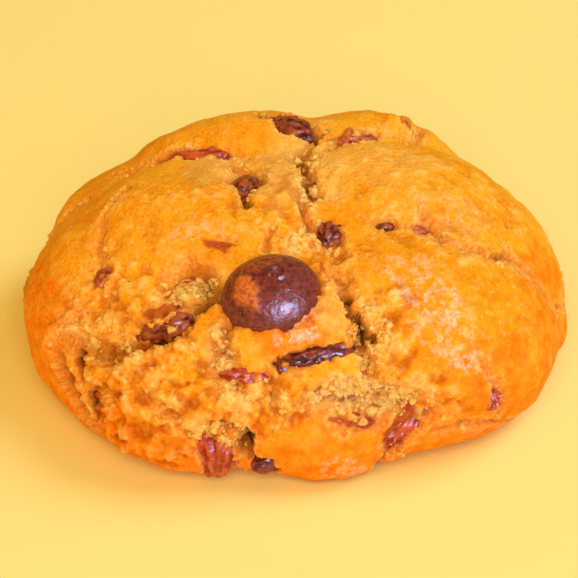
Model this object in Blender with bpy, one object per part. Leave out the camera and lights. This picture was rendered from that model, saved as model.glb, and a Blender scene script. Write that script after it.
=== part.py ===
"""A thick, domed chocolate chip cookie, cracked by baking, with the chocolate that shows in its crust.

Metres, +Z up. The origin is the centre of the flat foot, +X runs to the right and -Y to the front,
where the large round chip sits. Sizes below are in millimetres and turned to metres once, by MM.

A place on the crust is (u, v): millimetres along the skin from the crown, u to the right and v away
from the front. The reach hypot(u, v) picks a point of the turned profile and the bearing
atan2(v, u) picks the side of the cookie.
"""

import math
from typing import NamedTuple

import bmesh
import bpy
import numpy as np
from mathutils import Matrix, Vector

MM = 0.001

# The turned profile
BODY_RADIUS = 31.0
CROWN_HEIGHT = 23.2
WAIST_HEIGHT = 4.2
FOOT_INSET = 4.2
SIDE_POWER = 2.3
CROWN_POWER = 2.1
PROFILE_POINTS = 160

# Where the dome's axis stands, from the middle of the box around the whole cookie
AXIS_PLACE = (-0.46, 0.555)

# The crust's mesh, whose cells are drawn towards the front, where most cracks are
SKIN_CELLS = 56
FRONT_BIAS = 0.16
FOOT_LIP = 1.2
RELIEF_FADE = 2.0
MOUND_BLEND = 0.35
CRACK_WIDENING = 0.6
MOUND_FLOOR = -9.0
LIFT_REACH = 8.0
LUMP_SIZE = 4.5
LUMP_HEIGHT = 0.35
LUMP_SEED = 3
WANDER_SIZE = 5.0
WANDER = 0.9
WANDER_SEEDS = (1, 2)
NOISE_OFFSET = 1000.0

# The chocolate
POCKET_GAP = 0.3
CHIP_LUMP = 0.12
CHIP_LUMP_SIZE = 1.3
CHIP_SEED = 4
LARGE_CHIP_LENGTH = 5.0
SMALL_CHIP_SEGMENTS = 10
SMALL_CHIP_RINGS = 6
LARGE_CHIP_SEGMENTS = 24
LARGE_CHIP_RINGS = 14
SMOOTH_ANGLE = 50.0


class Swell(NamedTuple):
    """A part of the outline that bulges, or draws in where amount is negative."""
    bearing: float
    amount: float
    spread: float


class Mound(NamedTuple):
    """A rounded lobe of crust between cracks."""
    u: float
    v: float
    half_length: float
    half_width: float
    heading: float
    height: float


class Point(NamedTuple):
    """One point of a crack's line, with the groove's half width and depth there."""
    u: float
    v: float
    half_width: float
    depth: float


class Chip(NamedTuple):
    """A piece of chocolate, its middle sunk below the crust around it."""
    u: float
    v: float
    half_length: float
    half_width: float
    half_thickness: float
    heading: float
    sunk: float


SWELLS = (
    Swell(0, 1.5, 28),
    Swell(40, -0.5, 28),
    Swell(80, -1.5, 28),
    Swell(120, -6.0, 28),
    Swell(160, -0.5, 28),
    Swell(200, 1.0, 28),
    Swell(240, 1.0, 28),
    Swell(280, -3.0, 28),
    Swell(320, 1.5, 28),
)

# Where the foot's edge lifts off the ground
LIFTS = (
    Swell(236, 2.0, 9),
    Swell(262, 1.6, 7),
    Swell(300, 1.2, 10),
    Swell(330, 1.6, 16),
)

MOUNDS = {
    "upper_left": Mound(-15.0, -3.5, 13.0, 10.5, -10, 2.6),
    "large_right": Mound(20.5, -19.5, 17.0, 14.0, 20, 3.3),
    "upper_right": Mound(15.0, 0.5, 15.0, 10.5, 0, 2.4),
    "behind_left": Mound(-10.0, 14.0, 14.0, 10.0, 15, 3.4),
    "left_side": Mound(-30.0, -8.5, 10.0, 13.0, 0, 1.9),
    "front_left": Mound(-17.5, -31.5, 12.0, 11.0, -20, 1.2),
    "front_middle": Mound(-6.5, -34.0, 7.5, 6.0, -30, 1.3),
    "front_tongue": Mound(6.0, -41.0, 12.0, 7.0, 5, 2.2),
    "below_large_chip": Mound(-1.5, -24.0, 9.5, 7.5, 0, 2.0),
    "fold_below_it": Mound(3.0, -31.0, 9.0, 4.0, 8, 1.6),
    "middle_of_top": Mound(-2.5, -4.5, 6.5, 10.5, 0, 1.6),
    "behind_right": Mound(11.0, 15.5, 13.0, 8.5, 25, 2.2),
    "far_left": Mound(-30.0, 14.0, 12.0, 12.0, 0, 2.0),
    "back_left": Mound(-12.0, 33.0, 15.0, 13.0, 0, 2.3),
    "back_right": Mound(17.0, 31.0, 15.0, 12.0, 0, 2.2),
    "far_right": Mound(33.0, 10.0, 12.0, 14.0, 0, 0.6),
}

CRACKS = {
    "crown_channel": (
        Point(3.0, 9.5, 0.8, 1.5), Point(0.6, 4.4, 1.0, 2.0), Point(1.4, -0.4, 1.0, 2.2),
        Point(2.6, -4.0, 1.2, 2.2), Point(1.2, -7.0, 0.8, 1.6), Point(2.0, -11.0, 0.7, 1.2),
        Point(4.3, -11.4, 1.2, 2.0), Point(5.5, -15.5, 0.5, 1.0),
    ),
    "upper_left_hollow": (
        Point(-7.8, 3.6, 0.7, 1.2), Point(-6.4, 0.6, 0.8, 1.2), Point(-5.4, -2.2, 1.8, 2.4),
        Point(-5.3, -4.5, 0.8, 2.4), Point(-5.2, -6.8, 0.3, 1.4),
    ),
    "upper_left_fold": (
        Point(-23.0, 8.4, 0.4, 0.7), Point(-19.3, 6.2, 0.6, 1.0), Point(-15.4, 5.7, 0.9, 1.8),
        Point(-11.6, 5.3, 1.0, 2.0), Point(-8.2, 4.6, 0.7, 1.4),
    ),
    "left_side": (
        Point(-18.6, -0.8, 0.5, 0.8), Point(-20.4, -3.6, 0.3, 0.5), Point(-21.4, -6.2, 0.7, 1.1),
        Point(-22.2, -9.0, 0.7, 1.1), Point(-21.9, -12.6, 1.2, 1.2), Point(-20.8, -15.6, 0.5, 0.6),
    ),
    "left_of_large_chip": (
        Point(-30.0, -17.0, 1.2, 0.9), Point(-25.5, -19.7, 1.5, 1.5), Point(-22.5, -22.6, 1.2, 1.8),
        Point(-19.5, -22.5, 1.5, 2.6), Point(-16.0, -22.3, 1.7, 3.4), Point(-12.8, -21.3, 1.7, 3.2),
        Point(-10.2, -20.0, 1.5, 3.4), Point(-8.6, -19.6, 1.2, 3.0),
    ),
    "crumbling_slope": (
        Point(-15.0, -18.3, 1.2, 1.0), Point(-13.2, -16.0, 2.0, 1.3), Point(-10.8, -15.4, 2.2, 1.6),
        Point(-9.0, -17.6, 1.6, 2.2),
    ),
    "above_large_chip": (Point(-3.2, -11.6, 0.5, 1.0), Point(-3.2, -13.8, 0.9, 1.3)),
    "left_front_crevice": (
        Point(-30.5, -18.5, 0.9, 1.4), Point(-30.6, -21.5, 1.5, 3.0), Point(-30.2, -24.0, 0.9, 2.2),
        Point(-29.6, -27.4, 1.4, 2.6), Point(-28.4, -30.0, 0.8, 1.4),
    ),
    "left_front_nick": (Point(-25.4, -25.6, 0.5, 0.8), Point(-23.5, -27.5, 0.5, 0.9)),
    "down_from_large_chip": (
        Point(-7.2, -24.0, 0.6, 1.6), Point(-7.8, -26.5, 0.5, 1.2), Point(-7.2, -28.4, 0.9, 1.4),
        Point(-6.6, -30.3, 1.2, 1.6),
    ),
    "crescent": (
        Point(-2.4, -29.6, 0.6, 1.6), Point(0.4, -29.3, 0.8, 1.8), Point(3.0, -28.6, 1.0, 2.2),
        Point(5.4, -27.6, 1.1, 2.2), Point(7.4, -27.3, 0.8, 1.8),
    ),
    "lower_streak": (
        Point(-9.6, -28.6, 0.5, 1.2), Point(-6.4, -29.6, 0.7, 1.6), Point(-3.0, -30.6, 0.5, 1.4),
        Point(-2.4, -32.6, 0.4, 1.4), Point(-1.6, -35.2, 0.4, 0.8),
    ),
    "right_of_large_chip": (
        Point(5.4, -17.5, 0.9, 1.0), Point(6.6, -21.5, 0.7, 1.8), Point(8.2, -23.7, 0.6, 2.4),
        Point(9.1, -25.4, 1.0, 3.4), Point(8.4, -27.4, 0.9, 2.2), Point(10.5, -29.5, 0.6, 1.2),
    ),
    "front_crumbling_ground": (
        Point(2.0, -33.6, 1.4, 1.0), Point(6.6, -33.0, 2.2, 1.3), Point(11.8, -32.4, 2.4, 1.5),
        Point(16.5, -31.5, 1.8, 1.3), Point(18.7, -31.2, 0.8, 1.2),
    ),
    "above_tongue": (
        Point(3.6, -35.0, 0.4, 0.8), Point(6.2, -35.8, 0.6, 1.4), Point(9.4, -35.6, 0.8, 1.6),
        Point(12.4, -34.4, 1.0, 1.6),
    ),
    "right_of_tongue": (
        Point(13.8, -42.5, 0.9, 1.6), Point(14.2, -39.8, 1.3, 2.2), Point(15.7, -36.6, 1.7, 2.2),
        Point(16.9, -33.6, 1.3, 1.8), Point(18.6, -31.0, 0.8, 1.4),
    ),
    "front_hollow": (
        Point(-11.0, -34.4, 1.0, 1.4), Point(-11.6, -37.0, 2.2, 2.2), Point(-11.0, -40.2, 2.4, 2.2),
        Point(-10.4, -42.6, 1.2, 1.4),
    ),
    "front_split": (
        Point(-10.6, -34.0, 0.5, 1.2), Point(-8.2, -35.6, 0.7, 1.8), Point(-6.6, -38.2, 0.9, 3.0),
        Point(-5.6, -40.4, 0.7, 1.8), Point(-4.2, -42.4, 1.4, 2.4),
    ),
    "front_left_nick": (
        Point(-17.0, -28.5, 0.5, 0.8), Point(-15.4, -31.5, 0.8, 1.4), Point(-14.6, -33.4, 0.5, 0.8),
    ),
    "right_crease": (
        Point(21.6, -23.4, 0.3, 0.6), Point(24.2, -24.6, 0.5, 0.9), Point(25.4, -26.4, 1.1, 1.4),
        Point(27.4, -28.2, 0.5, 0.6),
    ),
    "right_foot_fold": (
        Point(20.5, -33.0, 0.6, 1.0), Point(24.5, -30.4, 0.7, 1.1), Point(28.5, -28.2, 0.5, 0.9),
        Point(35.5, -24.0, 0.4, 0.5),
    ),
    "upper_right": (
        Point(13.6, -5.6, 0.5, 0.9), Point(14.0, -8.6, 1.3, 1.6), Point(17.2, -10.0, 0.8, 1.2),
        Point(19.9, -11.0, 0.8, 1.3), Point(22.4, -10.6, 0.7, 1.1), Point(24.4, -8.0, 1.0, 1.8),
        Point(27.0, -8.8, 0.7, 1.2), Point(30.6, -9.8, 0.7, 1.0), Point(33.0, -12.0, 0.4, 0.6),
    ),
    "upper_right_nick": (
        Point(9.3, -8.9, 0.5, 0.9), Point(10.7, -8.7, 1.2, 1.8), Point(12.0, -8.8, 0.5, 0.8),
    ),
    "back_rim": (
        Point(3.6, 5.4, 0.4, 0.8), Point(6.4, 7.9, 0.9, 1.6), Point(9.8, 9.2, 0.9, 1.4),
        Point(12.5, 9.6, 0.4, 0.8),
    ),
    "far_right_rim": (Point(15.6, 14.6, 0.5, 1.0), Point(14.6, 9.4, 0.6, 1.2)),
    "back_chip_hollow": (
        Point(-4.4, 14.4, 1.0, 1.2), Point(-1.0, 12.0, 1.8, 1.8), Point(2.6, 10.2, 1.2, 2.6),
    ),
    "back_across": (
        Point(-22.0, 24.0, 0.8, 1.2), Point(-12.0, 22.0, 1.3, 2.2), Point(-3.0, 24.5, 1.4, 2.6),
        Point(4.0, 22.0, 1.0, 1.8), Point(12.0, 23.5, 0.6, 1.0),
    ),
    "back_down": (
        Point(-3.0, 24.5, 1.0, 2.0), Point(0.0, 31.0, 1.2, 2.2), Point(1.5, 38.0, 0.8, 1.2),
    ),
    "back_right": (
        Point(24.0, 20.0, 0.6, 1.0), Point(28.0, 24.0, 1.0, 1.6), Point(30.0, 30.0, 0.6, 1.0),
    ),
    "far_left": (
        Point(-36.0, 8.0, 0.5, 0.8), Point(-31.0, 4.5, 0.8, 1.2), Point(-26.0, 5.5, 0.5, 0.8),
    ),
    "far_right": (
        Point(34.0, -8.6, 0.8, 1.2), Point(37.0, -5.0, 0.6, 1.0), Point(36.0, 2.0, 0.4, 0.8),
    ),
}

CHIPS = {
    "chip_large": Chip(-2.7, -20.9, 5.7, 4.8, 3.9, 8, 1.2),
    "chip_back_rim": Chip(-1.0, 12.4, 3.8, 2.0, 2.0, -39, 1.2),
    "chip_upper_left_strip": Chip(-12.0, 5.4, 4.2, 1.3, 1.6, -6, 1.1),
    "chip_upper_left": Chip(-5.3, -2.6, 2.0, 1.5, 1.5, 60, 1.5),
    "chip_channel_high": Chip(3.2, -2.4, 1.8, 1.1, 1.4, -70, 1.5),
    "chip_channel_low": Chip(4.5, -10.6, 2.1, 1.6, 1.7, 75, 1.2),
    "chip_right_nick": Chip(10.7, -8.8, 1.7, 1.0, 1.2, 8, 1.2),
    "chip_right_crack": Chip(13.9, -8.7, 1.4, 1.0, 1.2, -20, 1.3),
    "chip_back_right": Chip(8.0, 8.6, 2.7, 1.2, 1.4, 20, 1.0),
    "chip_far_right_rim": Chip(13.2, 14.6, 2.8, 1.4, 1.5, 44, 1.2),
    "chip_left": Chip(-21.9, -12.6, 1.7, 1.2, 1.3, 80, 0.9),
    "chip_left_rim": Chip(-35.6, -3.6, 1.5, 1.1, 1.2, 70, 0.9),
    "chip_left_crack": Chip(-15.0, -21.0, 3.6, 1.5, 1.8, 3, 2.0),
    "chip_streak": Chip(-8.2, -12.4, 1.8, 0.7, 1.0, -14, 0.75),
    "chip_crescent": Chip(2.6, -28.8, 4.6, 1.5, 1.8, 13, 1.6),
    "chip_lower_streak": Chip(-6.1, -29.7, 3.0, 0.8, 1.1, -16, 1.0),
    "chip_front": Chip(-11.3, -38.2, 3.4, 2.5, 2.0, 82, 1.6),
    "chip_front_foot": Chip(-4.2, -41.6, 2.0, 1.3, 1.5, 10, 1.4),
    "chip_tongue_streak": Chip(8.2, -35.5, 3.5, 0.8, 1.1, 5, 1.0),
    "chip_right_foot": Chip(16.0, -35.6, 4.6, 1.5, 1.7, 62, 1.9),
    "chip_right_side": Chip(25.4, -26.3, 1.6, 1.0, 1.2, 80, 1.0),
    "chip_back_crack": Chip(-2.4, 24.4, 3.4, 1.7, 1.8, -5, 1.8),
    "chip_back_low": Chip(0.6, 33.5, 2.6, 1.5, 1.6, 80, 1.4),
    "chip_back_right_crack": Chip(27.4, 23.4, 2.4, 1.4, 1.5, 45, 1.0),
    "chip_back_left": Chip(-20.5, 23.8, 2.8, 1.6, 1.6, -10, 0.9),
}


def smooth_step(value):
    """Rises from 0 to 1 with level ends, for values from 0 to 1."""
    value = np.clip(value, 0.0, 1.0)
    return value * value * (3.0 - 2.0 * value)


def bell(bearing, swells):
    """Sum of bell curves over the bearing, which is in radians."""
    total = np.zeros(np.shape(bearing))
    for swell in swells:
        off = (np.degrees(bearing) - swell.bearing + 180.0) % 360.0 - 180.0
        total = total + swell.amount * np.exp(-((off / swell.spread) ** 2))
    return total


def turned_profile():
    """Radius as a share of the outline, height, and reach from the crown, from crown to foot."""
    angle = np.linspace(0.0, math.pi / 2, PROFILE_POINTS)
    under = angle[1:]
    share = np.concatenate([
        np.sin(angle) ** (2.0 / SIDE_POWER),
        1.0 - FOOT_INSET / BODY_RADIUS * (1.0 - np.cos(under)),
    ])
    height = np.concatenate([
        WAIST_HEIGHT + (CROWN_HEIGHT - WAIST_HEIGHT) * np.abs(np.cos(angle)) ** (2.0 / CROWN_POWER),
        WAIST_HEIGHT * (1.0 - np.sin(under)),
    ])
    steps = np.hypot(np.diff(share * BODY_RADIUS), np.diff(height))
    return share, height, np.concatenate([[0.0], np.cumsum(steps)])


SHARE, HEIGHT, REACH = turned_profile()


def skin(u, v):
    """The smooth dome at (u, v), before any relief."""
    reach = np.hypot(u, v)
    bearing = np.arctan2(v, u)
    radius = np.interp(reach, REACH, SHARE) * (BODY_RADIUS + bell(bearing, SWELLS))
    height = np.interp(reach, REACH, HEIGHT)
    return np.stack([radius * np.cos(bearing), radius * np.sin(bearing), height], axis=-1)


def skin_slopes(u, v, step=0.05):
    """Unit directions along u, along v and outwards at (u, v)."""
    along_u = skin(u + step, v) - skin(u - step, v)
    along_v = skin(u, v + step) - skin(u, v - step)
    outwards = np.cross(along_u, along_v)
    return [d / np.linalg.norm(d, axis=-1, keepdims=True) for d in (along_u, along_v, outwards)]


def lattice_value(i, j, k, seed):
    """A fixed value from 0 to 1 for each point of a whole-number lattice."""
    mixed = (i * 374761393 + j * 668265263 + k * 2147483647 + seed * 1274126177) & 0xFFFFFFFF
    mixed = ((mixed ^ (mixed >> 13)) * 1274126177) & 0xFFFFFFFF
    return ((mixed ^ (mixed >> 16)) & 0xFFFFFF) / float(0xFFFFFF)


def noise(points, size, seed):
    """Smooth noise from -1 to 1, about one lump for each size of length."""
    place = np.asarray(points) / size + NOISE_OFFSET
    cell = np.floor(place).astype(np.int64)
    part = smooth_step(place - cell)
    total = np.zeros(part.shape[:-1])
    for corner in np.ndindex(2, 2, 2):
        weight = np.prod([part[..., a] if corner[a] else 1.0 - part[..., a] for a in range(3)], axis=0)
        i, j, k = (cell[..., a] + corner[a] for a in range(3))
        total = total + weight * lattice_value(i, j, k, seed)
    return 2.0 * total - 1.0


def mound_height(u, v):
    """Height of the lobes over the dome: the highest one at each place, blended at the joins."""
    total = np.ones(np.shape(u))
    for mound in MOUNDS.values():
        angle = math.radians(mound.heading)
        along = (u - mound.u) * math.cos(angle) + (v - mound.v) * math.sin(angle)
        across = (v - mound.v) * math.cos(angle) - (u - mound.u) * math.sin(angle)
        inside = 1.0 - (along / mound.half_length) ** 2 - (across / mound.half_width) ** 2
        total = total + np.exp(np.maximum(mound.height * inside, MOUND_FLOOR) / MOUND_BLEND)
    return MOUND_BLEND * np.log(total)


def crack_depth(u, v):
    """Depth of the deepest crack at (u, v): a groove with rounded lips along each line of points."""
    depth = np.zeros(np.shape(u))
    for line in CRACKS.values():
        for start, end in zip(line, line[1:]):
            run_u = end.u - start.u
            run_v = end.v - start.v
            along = ((u - start.u) * run_u + (v - start.v) * run_v) / (run_u ** 2 + run_v ** 2)
            along = np.clip(along, 0.0, 1.0)
            off = np.hypot(u - start.u - along * run_u, v - start.v - along * run_v)
            half_width = start.half_width + along * (end.half_width - start.half_width) + CRACK_WIDENING
            groove = np.exp(-((off / half_width) ** 2))
            depth = np.maximum(depth, (start.depth + along * (end.depth - start.depth)) * groove)
    return depth


def crust(u, v):
    """The baked surface at (u, v): the dome with its lobes, cracks and lumps."""
    base = skin(u, v)
    outwards = skin_slopes(u, v)[2]
    wander_u, wander_v = (WANDER * noise(base, WANDER_SIZE, seed) for seed in WANDER_SEEDS)
    relief = mound_height(u + wander_u, v + wander_v) - crack_depth(u, v)
    relief = relief + LUMP_HEIGHT * noise(base, LUMP_SIZE, LUMP_SEED)
    relief = relief * smooth_step(base[..., 2] / RELIEF_FADE)
    place = base + outwards * relief[..., None]
    edge = smooth_step((np.hypot(u, v) - REACH[-1]) / LIFT_REACH + 1.0)
    place[..., 2] = np.maximum(place[..., 2] + edge * bell(np.arctan2(v, u), LIFTS), 0.0)
    return place


def square_to_disc(x, y):
    """Bends a square grid into a disc, ring by ring, so that its cells keep about one size."""
    ring = np.where(np.abs(x) >= np.abs(y), x, y)
    turn = np.where(
        np.abs(x) >= np.abs(y),
        math.pi / 4 * y / np.where(x == 0.0, 1.0, x),
        math.pi / 2 - math.pi / 4 * x / np.where(y == 0.0, 1.0, y),
    )
    return ring * np.cos(turn), ring * np.sin(turn)


def material(name, colour, roughness):
    """A plain surface of one colour."""
    made = bpy.data.materials.new(name)
    made.use_nodes = True
    shader = made.node_tree.nodes["Principled BSDF"]
    shader.inputs["Base Color"].default_value = (*colour, 1.0)
    shader.inputs["Roughness"].default_value = roughness
    shader.inputs["Metallic"].default_value = 0.0
    return made


def object_from(bm, name, surface, parent):
    """Turns a bmesh into a smooth-shaded object under the parent."""
    mesh = bpy.data.meshes.new(name)
    bm.to_mesh(mesh)
    bm.free()
    mesh.shade_smooth()
    mesh.set_sharp_from_angle(angle=math.radians(SMOOTH_ANGLE))
    if surface:
        mesh.materials.append(surface)
    made = bpy.data.objects.new(name, mesh)
    made.parent = parent
    bpy.context.scene.collection.objects.link(made)
    return made


def build_dough(surface, parent):
    """The whole cookie as one closed body: the crust, a narrow lip at its foot and the flat foot."""
    bm = bmesh.new()
    bmesh.ops.create_grid(bm, x_segments=SKIN_CELLS, y_segments=SKIN_CELLS, size=1.0)
    grid = np.array([vert.co for vert in bm.verts], dtype=float)
    disc_u, disc_v = square_to_disc(grid[:, 0], grid[:, 1])
    disc_v = disc_v - FRONT_BIAS * (1.0 - disc_u ** 2 - disc_v ** 2)
    places = crust(disc_u * REACH[-1], disc_v * REACH[-1]) * MM
    for vert, place in zip(bm.verts, places):
        vert.co = place

    rim = [edge for edge in bm.edges if edge.is_boundary]
    lip = bmesh.ops.extrude_edge_only(bm, edges=rim)["geom"]
    for vert in (item for item in lip if isinstance(item, bmesh.types.BMVert)):
        radius = math.hypot(vert.co.x, vert.co.y)
        shrink = 1.0 - FOOT_LIP * MM / radius
        vert.co = Vector((vert.co.x * shrink, vert.co.y * shrink, 0.0))
    bmesh.ops.contextual_create(bm, geom=[edge for edge in bm.edges if edge.is_boundary])
    bmesh.ops.recalc_face_normals(bm, faces=bm.faces)
    return object_from(bm, "dough", surface, parent)


def chip_frame(chip):
    """Place and turn of a chip: its Z points out of the crust and its X along its length."""
    u = np.array(chip.u)
    v = np.array(chip.v)
    along_u, along_v, outwards = skin_slopes(u, v)
    heading = math.radians(chip.heading)
    middle = skin(u, v) + outwards * (mound_height(u, v) - chip.sunk)
    z_axis = Vector(outwards).normalized()
    length = Vector(math.cos(heading) * along_u + math.sin(heading) * along_v)
    x_axis = (length - z_axis * length.dot(z_axis)).normalized()
    turn = Matrix((x_axis, z_axis.cross(x_axis), z_axis)).transposed().to_4x4()
    return Matrix.Translation(Vector(middle) * MM) @ turn


def build_lozenge(name, chip, swell, surface, parent):
    """A rounded, slightly lumpy pebble of a chip's size, swollen all round by the given amount."""
    large = chip.half_length > LARGE_CHIP_LENGTH
    bm = bmesh.new()
    bmesh.ops.create_uvsphere(
        bm,
        u_segments=LARGE_CHIP_SEGMENTS if large else SMALL_CHIP_SEGMENTS,
        v_segments=LARGE_CHIP_RINGS if large else SMALL_CHIP_RINGS,
        radius=1.0,
    )
    size = np.array([chip.half_length, chip.half_width, chip.half_thickness])
    unit = np.array([vert.co for vert in bm.verts], dtype=float)
    lumps = CHIP_LUMP * noise(unit + np.array([chip.u, chip.v, 0.0]), CHIP_LUMP_SIZE, CHIP_SEED)[:, None]
    places = unit * size * (1.0 if large else 1.0 + lumps) + unit * swell
    for vert, place in zip(bm.verts, places * MM):
        vert.co = place
    made = object_from(bm, name, surface, parent)
    made.matrix_basis = chip_frame(chip)
    return made


def cut_pockets(dough, parent):
    """Cuts a pocket for every chip, a little wider than the chip all round."""
    pockets = bpy.data.collections.new("pockets")
    bpy.context.scene.collection.children.link(pockets)
    for name, chip in CHIPS.items():
        cutter = build_lozenge("pocket_for_" + name, chip, POCKET_GAP, None, parent)
        bpy.context.scene.collection.objects.unlink(cutter)
        pockets.objects.link(cutter)
        cutter.hide_render = True
        cutter.display_type = "WIRE"
    cut = dough.modifiers.new("pockets", "BOOLEAN")
    cut.operation = "DIFFERENCE"
    cut.solver = "EXACT"
    cut.operand_type = "COLLECTION"
    cut.collection = pockets


def main():
    """Builds the cookie under one empty at its origin."""
    for old in list(bpy.data.objects):
        bpy.data.objects.remove(old, do_unlink=True)
    root = bpy.data.objects.new("cookie", None)
    root.location = (AXIS_PLACE[0] * MM, AXIS_PLACE[1] * MM, 0.0)
    bpy.context.scene.collection.objects.link(root)

    crust_brown = material("baked_dough", (0.84, 0.32, 0.03), 0.55)
    chocolate = material("milk_chocolate", (0.17, 0.035, 0.012), 0.3)
    dough = build_dough(crust_brown, root)
    for name, chip in CHIPS.items():
        build_lozenge(name, chip, 0.0, chocolate, root)
    cut_pockets(dough, root)


main()
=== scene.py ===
"""The looks of a thick, domed chocolate chip cookie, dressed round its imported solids.

The cookie's form is worked out again here at a finer size than the solids have. Lengths in the form
are millimetres and become metres once, by MM. A place on the crust is (u, v): millimetres along the
skin from the crown, u to the right and v away from the front, where the large round chip sits.
"""
import logging
import math
from dataclasses import dataclass, field
from enum import Enum
from functools import partial
from typing import Dict, Iterable, List, Sequence, Tuple, Union

import bmesh
import bpy
import numpy as np
from mathutils import Matrix, Vector


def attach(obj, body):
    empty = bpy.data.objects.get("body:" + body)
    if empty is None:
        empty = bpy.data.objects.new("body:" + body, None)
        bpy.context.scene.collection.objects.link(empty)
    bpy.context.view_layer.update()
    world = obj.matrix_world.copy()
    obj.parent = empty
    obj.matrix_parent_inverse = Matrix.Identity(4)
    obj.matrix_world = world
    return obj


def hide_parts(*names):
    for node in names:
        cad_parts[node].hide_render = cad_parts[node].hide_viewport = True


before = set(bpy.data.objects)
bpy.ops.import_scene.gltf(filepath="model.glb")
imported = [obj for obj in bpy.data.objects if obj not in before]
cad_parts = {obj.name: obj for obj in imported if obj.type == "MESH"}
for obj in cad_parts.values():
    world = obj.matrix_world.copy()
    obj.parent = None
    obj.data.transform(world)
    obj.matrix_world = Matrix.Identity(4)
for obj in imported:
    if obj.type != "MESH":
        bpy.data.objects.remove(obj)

LOG = logging.getLogger("cookie")
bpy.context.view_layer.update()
MM = 0.001
ROOT = "root"

CRUST_MASKS = (
    "crumb", "rough", "pale", "deep", "crevice_shade", "tip", "gap", "stain", "dark", "thin", "grease_and_glints",
)

# Numbers that mix the bits of a lattice point, and the largest whole and short words
MIXERS = (374761393, 668265263, 2147483647, 1274126177)
WORD, SHORT_WORD = 0xFFFFFFFF, 0xFFFFFF
# Cells from the lattice's start to the dome's axis, so that no place has a negative number
LATTICE_START = 1000.0
# Farther, in millimetres or in cells, than anything that counts
FAR = 9.0

# Sockets of the Mix node for colours
FACTOR, UNDER, OVER, MIXED = 0, 6, 7, 2

Array = np.ndarray
Setting = Union[float, int, bool, str, Sequence[float], bpy.types.NodeSocket]
Inputs = Union[Dict[Union[str, int], Setting], Sequence[Setting]]


@dataclass(frozen=True)
class Swell:
    """A part of an outline that bulges, or draws in where amount is negative; angles in degrees."""

    bearing: float
    amount: float
    spread: float


@dataclass(frozen=True)
class Oval:
    """An oval patch of the crust, in skin millimetres, with a heading in degrees and a height."""

    u: float
    v: float
    half_length: float
    half_width: float
    heading: float
    height: float


@dataclass(frozen=True)
class Point:
    """One point of a crack's line, with the groove's half width and depth there."""

    u: float
    v: float
    half_width: float
    depth: float


@dataclass(frozen=True)
class Layer:
    """One layer of smooth noise: its height, the length of its cells in millimetres, and its seed."""

    height: float
    size: float
    seed: int


class Tone(Enum):
    """How a piece of chocolate looks after baking."""

    GLOSSY = "glossy"
    PLUM = "plum"
    ROSY = "rosy"
    RED = "red"


@dataclass(frozen=True)
class Chip:
    """A piece of chocolate whose middle is sunk below the crust around it.

    Its veil is the share of a crack's depth that dough fills where the crack crosses the piece.
    """

    u: float
    v: float
    half_length: float
    half_width: float
    half_thickness: float
    heading: float
    sunk: float
    tone: Tone = Tone.ROSY
    veil: float = 0.25


def make_ovals(**rows: Tuple[float, float, float, float, float, float]) -> Dict[str, Oval]:
    """Makes an oval of each named row: u, v, half length, half width, heading and height."""
    return {name: Oval(*row) for name, row in rows.items()}


SWELLS: Tuple[Swell, ...] = (
    Swell(0, 1.5, 28),
    Swell(40, -0.5, 28),
    Swell(80, -1.5, 28),
    Swell(120, -6.0, 28),
    Swell(160, -0.5, 28),
    Swell(200, 1.0, 28),
    Swell(240, 1.0, 28),
    Swell(280, -3.0, 28),
    Swell(320, 1.5, 28),
)

LIFTS: Tuple[Swell, ...] = (
    Swell(236, 2.0, 9),
    Swell(262, 1.6, 7),
    Swell(300, 1.2, 10),
    Swell(330, 1.6, 16),
)

MOUNDS = make_ovals(
    upper_left=(-15.0, -3.5, 13.0, 10.5, -10, 2.6),
    large_right=(20.5, -19.5, 17.0, 14.0, 20, 3.3),
    upper_right=(15.0, 0.5, 15.0, 10.5, 0, 2.4),
    behind_left=(-10.0, 14.0, 14.0, 10.0, 15, 3.4),
    left_side=(-30.0, -8.5, 10.0, 13.0, 0, 1.9),
    front_left=(-17.5, -31.5, 12.0, 11.0, -20, 1.2),
    front_middle=(-6.5, -34.0, 7.5, 6.0, -30, 1.3),
    front_tongue=(6.0, -41.0, 12.0, 7.0, 5, 2.2),
    below_large_chip=(-1.5, -24.0, 9.5, 7.5, 0, 2.0),
    fold_below_it=(3.0, -31.0, 9.0, 4.0, 8, 1.6),
    middle_of_top=(-2.5, -4.5, 6.5, 10.5, 0, 1.6),
    behind_right=(11.0, 15.5, 13.0, 8.5, 25, 2.2),
    far_left=(-30.0, 14.0, 12.0, 12.0, 0, 2.0),
    back_left=(-12.0, 33.0, 15.0, 13.0, 0, 2.3),
    back_right=(17.0, 31.0, 15.0, 12.0, 0, 2.2),
    far_right=(33.0, 10.0, 12.0, 14.0, 0, 0.6),
)

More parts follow.
